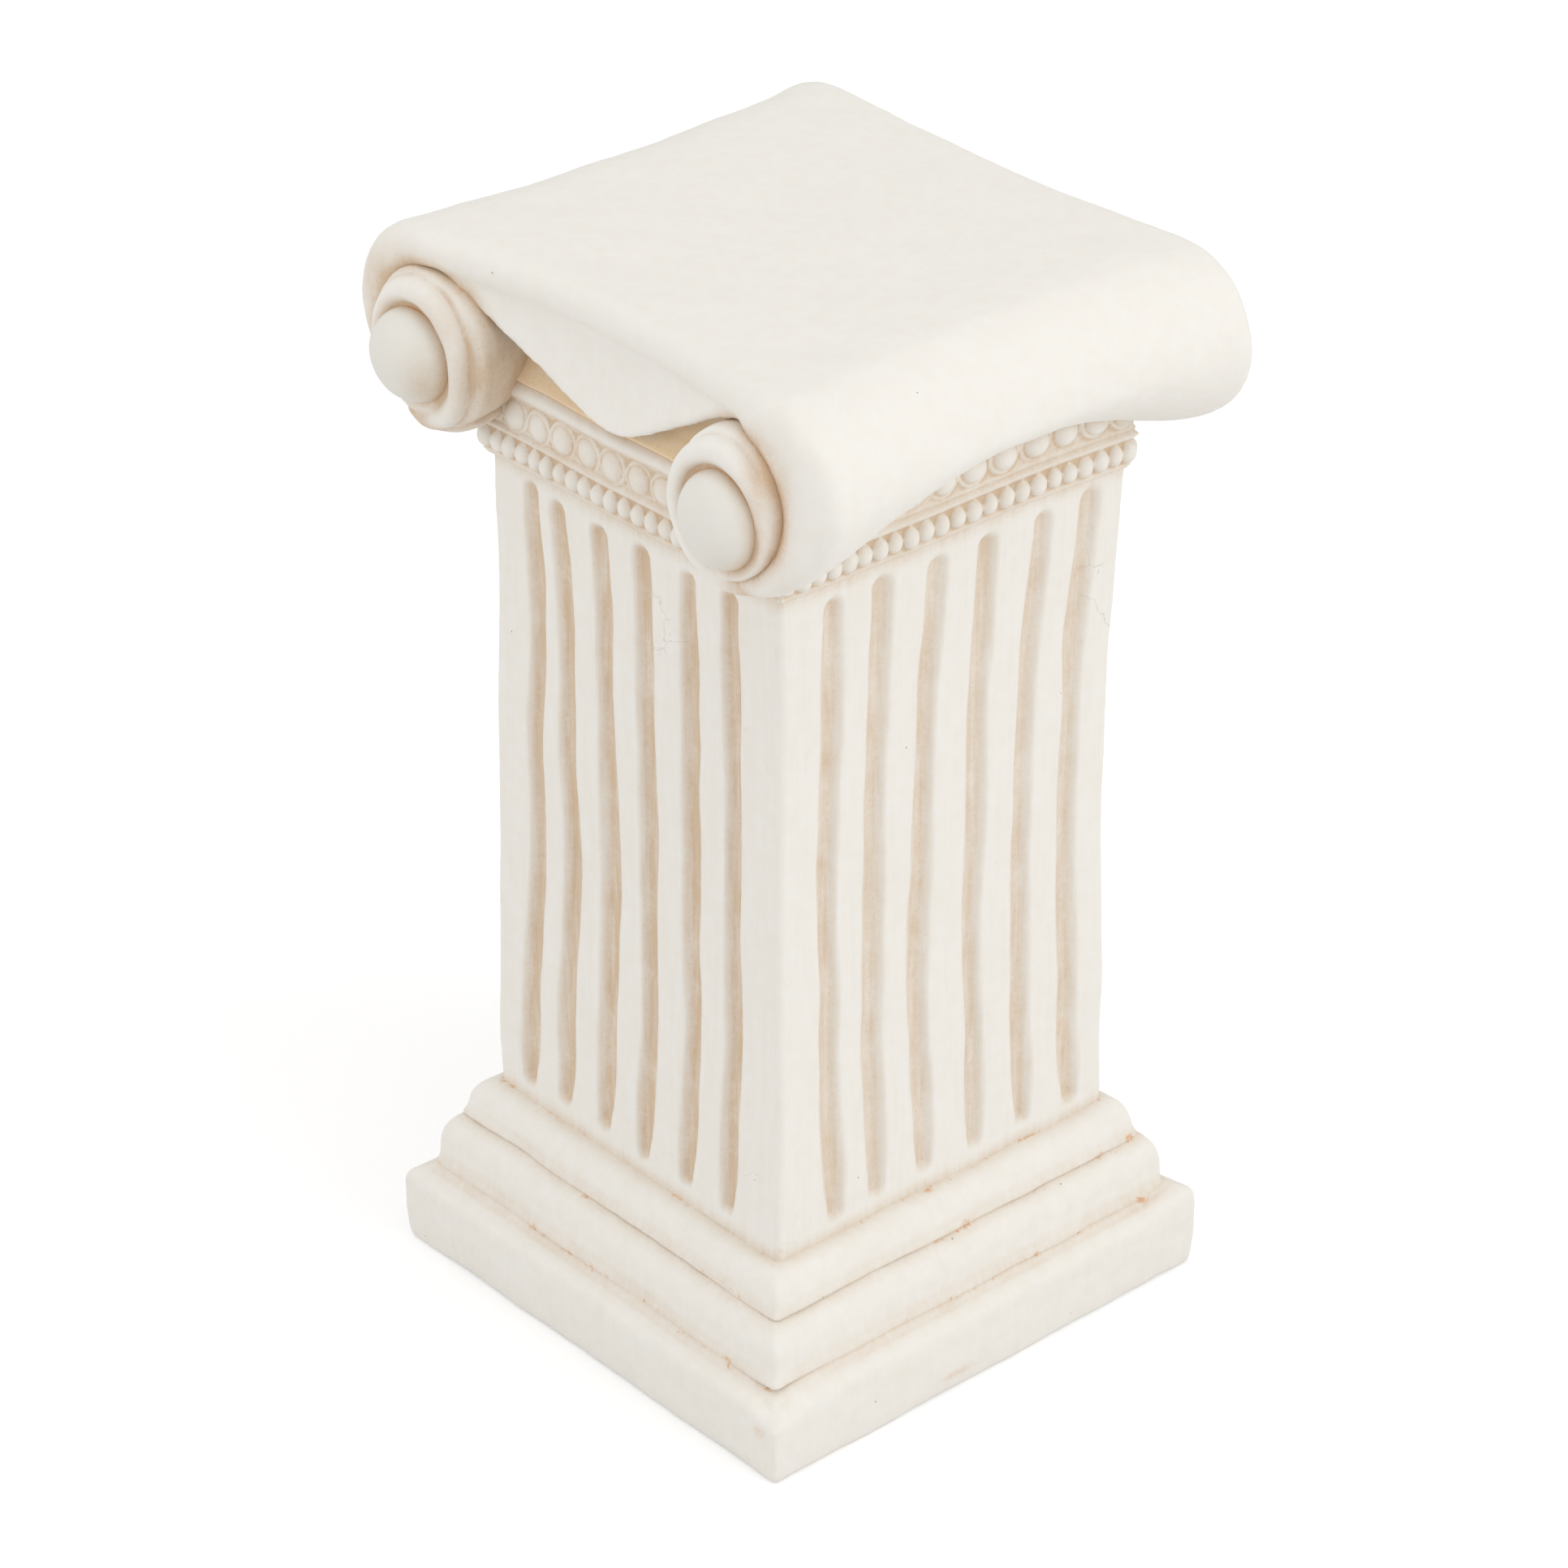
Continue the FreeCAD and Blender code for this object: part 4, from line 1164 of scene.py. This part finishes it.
def sheet_station(y, side):
    """Outer and inner points of one half of the sheet at one place along it."""
    share = float(waist(np.array(y)))
    out = SHEET_HALF - 0.7 - 11.0 * share
    flat = 112.0 - 7.5 * share
    lip = float(underside(np.array(y)))
    centre_x, centre_z = [float(value) for value in roll_centre(side, y)]
    scale = float(roll_size(np.array(y))) / DRAWN_RADIUS
    turn_z = TOP - 39.4
    crown = TOP - 0.7
    lift = 38.7
    outer = [(x, crown - 0.7 * (1 - (x / flat) ** 2) ** 2) for x in np.linspace(0, flat - 5, 30)]
    fuller = float(ease(np.array(float(y)), 40, 118)) if side > 0 else 0.0
    if side > 0:
        steepest = math.radians(61)
        ridge = math.cos(steepest)
        swell = 0.86 - 0.18 * fuller
        outer += [(flat + 2 + (out - flat - 2) * ((math.cos(spot) - ridge) / (1 - ridge)) ** swell,
                   turn_z + lift * math.sin(spot) / math.sin(steepest))
                  for spot in np.radians(np.linspace(60, 2, 24))]
    else:
        outer += [(flat - 2 + (out - flat + 2) * math.cos(spot), turn_z + lift * math.sin(spot))
                  for spot in np.radians(np.linspace(86, 2, 24))]
    swell = 1.27 - 0.2 * fuller
    outer += [(EYE_X + (out - EYE_X) * math.cos(spot) ** swell,
               turn_z - (turn_z - lip) * math.sin(spot) ** swell)
              for spot in np.radians(np.linspace(0, 89.9, 30))]
    for degrees in (188, 196, 204, 212):
        spot = math.radians(degrees)
        shrink = centre_z - lip - 0.07 * (degrees - 180)
        outer.append((EYE_X + shrink * math.sin(spot), centre_z + shrink * math.cos(spot)))
    outer = np.array(outer)
    inner = outer.copy()
    for place, (x, z) in enumerate(outer):
        across, up = x - centre_x, z - centre_z
        turn = math.degrees(math.atan2(across, up)) % 360
        if x < centre_x and up > 0:
            inner[place] = (x, SHEET_UNDER + 0.2)
        else:
            far = math.hypot(across, up)
            kept = min(float(wrap_radius(turn)) * scale - 0.4, far - 5.0) / far
            inner[place] = (centre_x + across * kept, centre_z + up * kept)
    return outer, inner


def sheet_shell():
    """The rolled sheet as a closed band with a fat rounded rim all round its ends."""
    depth = 8.6
    places = [(0, share) for share in np.linspace(0, 1, 42)]
    places += [(turn, 1) for turn in np.radians([18, 36, 52, 65, 76, 84])]
    rows = []
    for facing in (-1, 1):
        ring = []
        for turn, share in places:
            left, right = [sheet_station(facing * BARREL_HALF * share, side) for side in (-1, 1)]
            outer, inner = [np.concatenate([one[:0:-1] * (-1, 1), other])
                            for one, other in zip(left, right)]
            middle, half = (outer + inner) / 2, (outer - inner) / 2
            loop = np.concatenate([middle + half * math.cos(turn) ** 0.95,
                                   (middle - half * math.cos(turn) ** 0.5)[::-1]])
            around = np.concatenate([outer, outer[::-1]])
            end = sheet_reach(around[:, 0], facing) + 3.0 * ease(480 - around[:, 1], 0, 60)
            if facing < 0:
                off = ((around[:, 0] + 124) ** 2 + (around[:, 1] - 474) ** 2) / 19 ** 2
                end = end - 3.5 * np.exp(-off)
            y = facing * (share * (end - depth) + depth * math.sin(turn))
            ring.append(np.stack([loop[:, 0], y, loop[:, 1]], 1))
        rows = ring[::-1] + rows if facing < 0 else rows + ring[1:]
    count = len(rows[0])
    points = np.concatenate(rows)
    faces = quads(len(rows), count, close_columns=True)
    half = count // 2
    for start in (0, (len(rows) - 1) * count):
        for place in range(half - 1):
            mate = count - 1 - place
            faces.append((start + place, start + place + 1, start + mate - 1, start + mate))
    return points, faces


def flap_low(x):
    """Height of the lower edge of the flap across the front."""
    places = [-104, -88, -62, -36, -12, 3, 14, 41, 66, 82, 104]
    heights = [497, 485, 470.5, 459.5, 450, 447.9, 451.5, 467, 481, 488, 496]
    return np.interp(x, places, heights)


def flap_shell(facing):
    """The tongue of the sheet that hangs between the scrolls, hollowed and flared to its lip."""
    across = np.linspace(-100, 100, 101)
    low = flap_low(across)
    low = np.convolve(np.pad(low, 4, mode="edge"), np.ones(9) / 9, mode="valid")
    down = 26
    lip = np.radians([25, 45, 62, 76, 86])
    shares = np.concatenate([np.linspace(0, 1, down), np.ones(len(lip))])
    swell = np.concatenate([np.ones(down), np.cos(lip)])
    drop = np.concatenate([np.zeros(down), 2.6 * np.sin(lip)])
    rows = []
    for place, x in enumerate(across):
        foot = low[place] + 2.6
        start = TOP - 9.5
        long = (start - foot) / 50
        in_by = np.interp(shares, [0, 0.15, 0.4, 0.62, 0.82, 1], [1.6, 3.0, 5.6, 5.0, 2.6, -0.3])
        in_by = 1.6 + (in_by - 1.6) * min(1.0, long * 1.1)
        thick = np.interp(shares, [0, 0.5, 1], [9.5, 8.5, 5.6])
        y = sheet_reach(x, facing) - in_by
        middle = y - thick / 2
        z = start + (foot - start) * shares - drop
        ahead, behind = [
            np.stack([np.full(len(z), x), -(middle + way * thick / 2 * swell), z], 1) for way in (1, -1)]
        rows.append(np.concatenate([ahead, behind[::-1]]))
    return tube(rows)


class PEDESTAL_OT_sheet(Operator):
    """Rolled sheet of the capital with its two flaps, kneaded into one skin."""

    bl_idname = "pedestal.sheet"
    bl_label = "Capital sheet"

    def execute(self, context):
        (front, front_faces), (back, back_faces) = flap_shell(-1), flap_shell(1)
        points, faces = stacked([sheet_shell(), (front, front_faces), (back * (-1, -1, 1), back_faces)])
        piece = new_piece("capital_sheet_casting", points, faces)
        knead(piece, SHEET_GRAIN, 5, plaster("Capital plaster"))
        hand_finish(piece, 50, 1.0, (0.7, 2.6), 30)
        placed(piece, ["capital_sheet"])
        return {"FINISHED"}


def ring_radii(turn):
    """Outer and inner radius of the inner turn, and how far its crest stands forward."""
    knots = [160, 180, 225, 270, 315, 345, 360, 375, 390, 405, 420, 445, 470, 500]
    outer = np.interp(turn, knots, [35.4, 35.2, 33.4, 31.4, 32.0, 34.2, 34.4, 33.4, 31.8, 29.8, 27.8, 25.2,
                                    23.8, 22.4])
    inner = np.interp(turn, knots, [27, 25.6, 23.6, 22.8, 22.6, 22.5, 22.2, 21.8, 21.4, 21.0, 20.6, 20.2,
                                    19.8, 19.4])
    crest = np.interp(turn, knots, [119.5, 122.4, 125.8, 127.3, 127.6, 127.6, 127.4, 127.0, 126.6, 126.0,
                                    125.4, 124.2, 122.8, 121.2])
    return outer, inner, crest


def roll_shell(side):
    """The waisted barrel of a scroll, with a low cone at each end that carries the eye."""
    degrees = np.arange(0, 360, 4)
    angles = np.radians(degrees)
    wound = np.interp(degrees, [0, 15, 30, 45, 60, 85, 110, 140, 175, 190, 212, 240, 270, 315, 345, 360],
                      [37, 37, 35.8, 33.8, 31.8, 29.2, 27.4, 26.8, 28, 31.5, 36.2, 36.6, 36.2, 35.8, 36.2,
                       37]) / DRAWN_RADIUS
    shoulder = np.interp(degrees, [0, 30, 60, 150, 190, 230, 330, 345, 360],
                         [118, 117.5, 117.5, 117.5, 117.0, 114.8, 114.8, 116.5, 118])
    even = np.ones(len(angles))
    tip = 123.2
    peak = np.interp(degrees, [0, 25, 50, 170, 190, 360], [tip, tip, 124.6, 124.6, tip, tip])
    rows = [(wound, y * even) for y in np.linspace(-BARREL_HALF, BARREL_HALF, 56)]
    for facing in (-1, 1):
        end = [(wound * (1 - 0.01 * share), BARREL_HALF + (shoulder - BARREL_HALF) * share)
               for share in (0.5, 1.0)]
        end += [(np.minimum(radius / DRAWN_RADIUS, wound - 0.02), shoulder + (peak - shoulder) * rise)
                for radius, rise in ((35.0, 0.15), (32.5, 0.35), (30.0, 0.6), (27.5, 0.85), (25.0, 1.0))]
        end += [(radius * even, tip * even) for radius in (22.0 / DRAWN_RADIUS, 0.3)]
        end = [(radius, facing * depth) for radius, depth in end]
        rows = end[::-1] + rows if facing < 0 else rows + end
    points = []
    for share, y in rows:
        centre_x, centre_z = roll_centre(side, y)
        radius = share * roll_size(y)
        points.append(np.stack([side * (centre_x + radius * np.sin(angles)), y,
                                centre_z + radius * np.cos(angles)], 1))
    return tube(points)


def rim_path(side, facing):
    """Middle line and half thickness of the spiral rim at one end of a scroll."""
    turns = np.linspace(160, 500, 140)
    outer, inner, crest = ring_radii(turns)
    scale = roll_size(facing * crest) / DRAWN_RADIUS
    half = (outer - inner) / 2 * scale
    middle = (outer + inner) / 2 * scale
    spot = np.radians(turns)
    centre_x, centre_z = roll_centre(side, facing * crest)
    points = np.stack([side * (centre_x + middle * np.sin(spot)), facing * (crest - half),
                       centre_z + middle * np.cos(spot)], 1)
    return points, half


class PEDESTAL_OT_scrolls(Operator):
    """Two scrolls: a waisted barrel and, at each end, a spiral rim grown by Geometry Nodes."""

    bl_idname = "pedestal.scrolls"
    bl_label = "Scrolls"

    def execute(self, context):
        tree = tree_named("Spiral rim", rim_tree)
        for seed, name, side in ((52, "left", -1), (55, "right", 1)):
            points, faces = roll_shell(side)
            halves, edges, start = [np.zeros(len(points))], [], len(points)
            for facing in (-1, 1):
                path, half = rim_path(side, facing)
                edges += chain(start, len(path))
                start += len(path)
                points = np.concatenate([points, path])
                halves.append(half * MM)
            piece = new_piece("scroll_" + name, points, faces, edges)
            write_mask(piece.data, "rim_half", np.concatenate(halves))
            grow(piece, tree, {"Sides": 24, "Material": plaster("Capital plaster")})
            knead(piece, SCROLL_GRAIN, 4, plaster("Capital plaster"))
            hand_finish(piece, seed, 0.8, (0.05, 0.9), 34)
            placed(piece, ["scroll_roll_" + name])
        return {"FINISHED"}


class PEDESTAL_OT_eyes(Operator):
    """Four domed eyes, each pressed to a slightly different shape."""

    bl_idname = "pedestal.eyes"
    bl_label = "Eyes"

    def execute(self, context):
        seat = EYE_TIP - 19.2
        turns = np.radians(np.arange(0, 360, 5))
        for seed, end, name, wide, tall, proud in (
                (61, "front", "left", 21.3, 20.8, 18.0), (62, "front", "right", 20.2, 21.8, 15.2),
                (63, "back", "left", 20.6, 20.2, 17.0), (64, "back", "right", 20.2, 20.6, 16.2)):
            side = -1 if name == "left" else 1
            facing = -1 if end == "front" else 1
            centre_x, centre_z = roll_centre(side, facing * seat)
            rings = [(0.3, 0.0), (0.93, 0.0), (1.0, 0.02)]
            rings += [(math.cos(lift) ** 0.86, math.sin(lift)) for lift in np.radians(range(6, 90, 6))]
            rings.append((0.05, 1.0))
            rows = [[(side * (centre_x + wide * radius * math.sin(turn)), facing * (seat + proud * height),
                      centre_z + tall * radius * math.cos(turn)) for turn in turns]
                    for radius, height in rings]
            piece = new_piece("eye_" + end + "_" + name, *tube(rows))
            piece.data.materials.append(plaster("Eye plaster"))
            finer = piece.modifiers.new("Finer", "SUBSURF")
            finer.levels = finer.render_levels = 1
            settle(piece)
            hand_finish(piece, seed, 0.8, (0.2, 1.2), 20)
            placed(piece, ["volute_eye_" + end + "_" + name])
        return {"FINISHED"}


class PEDESTAL_OT_creases(Operator):
    """Marks where castings meet, so that residue lies along every crease."""

    bl_idname = "pedestal.creases"
    bl_label = "Crease stains"

    def execute(self, context):
        castings = [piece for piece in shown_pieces() if "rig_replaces" in piece]
        graph = context.evaluated_depsgraph_get()
        trees = {piece.name: BVHTree.FromObject(piece, graph) for piece in castings}
        reach = 7.5 * MM
        for piece in castings:
            points = read_points(piece.data) * MM
            low, high = points.min(0) - reach, points.max(0) + reach
            near = np.full(len(points), reach)
            family = piece.name.split("_")[0]
            for other in castings:
                if other.name.split("_")[0] == family:
                    continue
                corners = np.array([corner[:] for corner in other.bound_box])
                box_low, box_high = corners.min(0), corners.max(0)
                if (box_low > high).any() or (box_high < low).any():
                    continue
                inside = ((points > box_low - reach) & (points < box_high + reach)).all(axis=1)
                tree = trees[other.name]
                for index in np.nonzero(inside)[0]:
                    found = tree.find_nearest(points[index], near[index])
                    if found[3] is not None:
                        near[index] = found[3]
            write_mask(piece.data, "stain_contact", 1 - near / reach)
            points /= MM
            shelter = 0.55 * self.shelter(points, read_normals(piece.data))
            # The shelter mask also takes the listed spots, which are partly painted shade
            write_mask(piece.data, "stain_shelter", np.maximum(shelter, self.spots(points, WASH_AND_SHADE_SPOTS, family)))
            write_mask(piece.data, "stain_blemish", self.spots(points, BLEMISHES, family))
        return {"FINISHED"}

    def spots(self, points, places, family):
        """Soft spots of a table on the points of one family of castings."""
        marked = np.zeros(len(points))
        for middle, size, strength in places.get(family, ()):
            off = ((points - middle) / size) ** 2
            marked = np.maximum(marked, strength * np.exp(-off.sum(axis=1)))
        return marked

    def shelter(self, points, normals):
        """How far a point lies in under the capital, between the scrolls and faces inwards."""
        between = 1 - ease(np.abs(points[:, 0]), 84, 102)
        under = 1 - ease(np.abs(points[:, 1]), 98, 112)
        low = 1 - ease(points[:, 2], 486, 496)
        inward = 1 - ease(normals[:, 1] * np.sign(points[:, 1]), -0.1, 0.35)
        return between * under * low * inward * ease(points[:, 2], 443, 447)


class PEDESTAL_OT_inner_parts(Operator):
    """Bare wood and steel for the battens, boards, dowels and screws inside."""

    bl_idname = "pedestal.inner_parts"
    bl_label = "Inner parts"

    def execute(self, context):
        softwood = wood("Softwood", (0.60, 0.42, 0.23), (0.45, 0.28, 0.13), (260.0, 260.0, 9.0), 0.7)
        plywood = wood("Plywood", (0.50, 0.34, 0.18), (0.34, 0.20, 0.09), (10.0, 240.0, 620.0), 0.65)
        hardwood = wood("Dowel wood", (0.42, 0.25, 0.12), (0.28, 0.15, 0.07), (420.0, 420.0, 18.0), 0.55)
        steel = screw_metal()
        finishes = {"batten": softwood, "board": plywood, "dowels": hardwood, "screws": steel}
        for name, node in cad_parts.items():
            for word, material in finishes.items():
                if word in name:
                    node.data.materials.clear()
                    node.data.materials.append(material)
        return {"FINISHED"}


def seen_rays(tree):
    """1 where the camera sees a thing itself, in a mirror or through glass."""
    rays = add_node(tree, "ShaderNodeLightPath").outputs
    return maths(tree, "MAXIMUM", rays["Is Camera Ray"],
                 maths(tree, "MAXIMUM", rays["Is Glossy Ray"], rays["Is Transmission Ray"]))


def aimed(thing, spot, aim):
    """Puts a lamp or the camera in its place, looking at a point."""
    thing.location = spot
    thing.rotation_euler = (Vector(aim) - thing.location).to_track_quat("-Z", "Y").to_euler()
    bpy.context.scene.collection.objects.link(thing)


class PEDESTAL_OT_stage(Operator):
    """Pale floor, soft studio light and the camera."""

    bl_idname = "pedestal.stage"
    bl_label = "Stage"

    def execute(self, context):
        scene = context.scene
        scene.view_settings.view_transform = "Standard"
        mesh = bpy.data.meshes.new("studio_floor")
        mesh.from_pydata([(-9, -9, 0), (9, -9, 0), (9, 9, 0), (-9, 9, 0)], [], [(0, 1, 2, 3)])
        floor = bpy.data.objects.new("studio_floor", mesh)
        scene.collection.objects.link(floor)
        mesh.materials.append(self.floor_material())
        floor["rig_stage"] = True
        self.sky(scene)
        for name, spot, aim, size, power in (
                ("key_lamp", (2.6, 0.75, 1.4), (0, 0, 0.3), 2.2, 21),
                ("top_lamp", (0.3, -0.3, 2.9), (0, 0, 0.3), 2.6, 9.5),
                ("front_lamp", (-0.9, -2.7, 1.0), (0, 0, 0.25), 2.2, 12.0)):
            light = bpy.data.lights.new(name, "AREA")
            light.shape = "DISK"
            light.size = size
            light.energy = power
            aimed(bpy.data.objects.new(name, light), spot, aim)
        lens = bpy.data.cameras.new("photo_camera")
        lens.lens = 125.0
        lens.sensor_width = 36.0
        lens.clip_start = 0.05
        lens.clip_end = 60.0
        scene.camera = bpy.data.objects.new("photo_camera", lens)
        aimed(scene.camera, (1.5345, -1.3699, 1.4300), (-0.0045, -0.0051, 0.2456))
        return {"FINISHED"}

    def floor_material(self):
        """White floor that keeps the shadow and shows white to the camera."""
        material = bpy.data.materials.new("Studio floor")
        material.use_nodes = True
        tree = material.node_tree
        tree.nodes.clear()
        paper = add_node(tree, "ShaderNodeBsdfDiffuse", {"Color": (0.82, 0.82, 0.82, 1)})
        glow = add_node(tree, "ShaderNodeEmission", {"Strength": times(tree, seen_rays(tree), 0.3)})
        both = add_node(tree, "ShaderNodeAddShader", {0: paper.outputs[0], 1: glow.outputs[0]})
        add_node(tree, "ShaderNodeOutputMaterial", {"Surface": both.outputs[0]})
        return material

    def sky(self, scene):
        """Even studio light, with white shown to the camera."""
        world = bpy.data.worlds.new("Studio")
        scene.world = world
        world.use_nodes = True
        tree = world.node_tree
        ground = tree.nodes["Background"].inputs
        ground["Color"].default_value = (1, 1, 1, 1)
        feed(tree, plus(tree, times(tree, seen_rays(tree), 0.25), 0.75), ground["Strength"])


class PEDESTAL_PT_sidebar(Panel):
    """Lists the pieces, their sizes and their colours."""

    bl_label = "Pedestal stand"
    bl_idname = "PEDESTAL_PT_sidebar"
    bl_space_type = "VIEW_3D"
    bl_region_type = "UI"
    bl_category = "Pedestal"

    def draw(self, context):
        scene = context.scene
        for title, group in (("Sizes", scene.pedestal_sizes), ("Colours", scene.pedestal_colours)):
            box = self.layout.box()
            box.label(text=title)
            for name in group.__class__.__annotations__:
                box.prop(group, name)
        for operator in OPERATORS:
            self.layout.operator(operator.bl_idname)


OPERATORS = (PEDESTAL_OT_stage, PEDESTAL_OT_foot, PEDESTAL_OT_shaft, PEDESTAL_OT_beads, PEDESTAL_OT_eggs,
             PEDESTAL_OT_neck, PEDESTAL_OT_sheet, PEDESTAL_OT_scrolls, PEDESTAL_OT_eyes,
             PEDESTAL_OT_inner_parts, PEDESTAL_OT_creases)
CLASSES = (PedestalSizes, PedestalColours) + OPERATORS + (PEDESTAL_PT_sidebar,)


def register():
    for each in CLASSES:
        bpy.utils.register_class(each)
    bpy.types.Scene.pedestal_sizes = PointerProperty(type=PedestalSizes)
    bpy.types.Scene.pedestal_colours = PointerProperty(type=PedestalColours)


def unregister():
    del bpy.types.Scene.pedestal_sizes
    del bpy.types.Scene.pedestal_colours
    for each in reversed(CLASSES):
        bpy.utils.unregister_class(each)


def main():
    register()
    for operator in OPERATORS:
        category, name = operator.bl_idname.split(".")
        getattr(getattr(bpy.ops, category), name)()


if __name__ == "__main__":
    main()
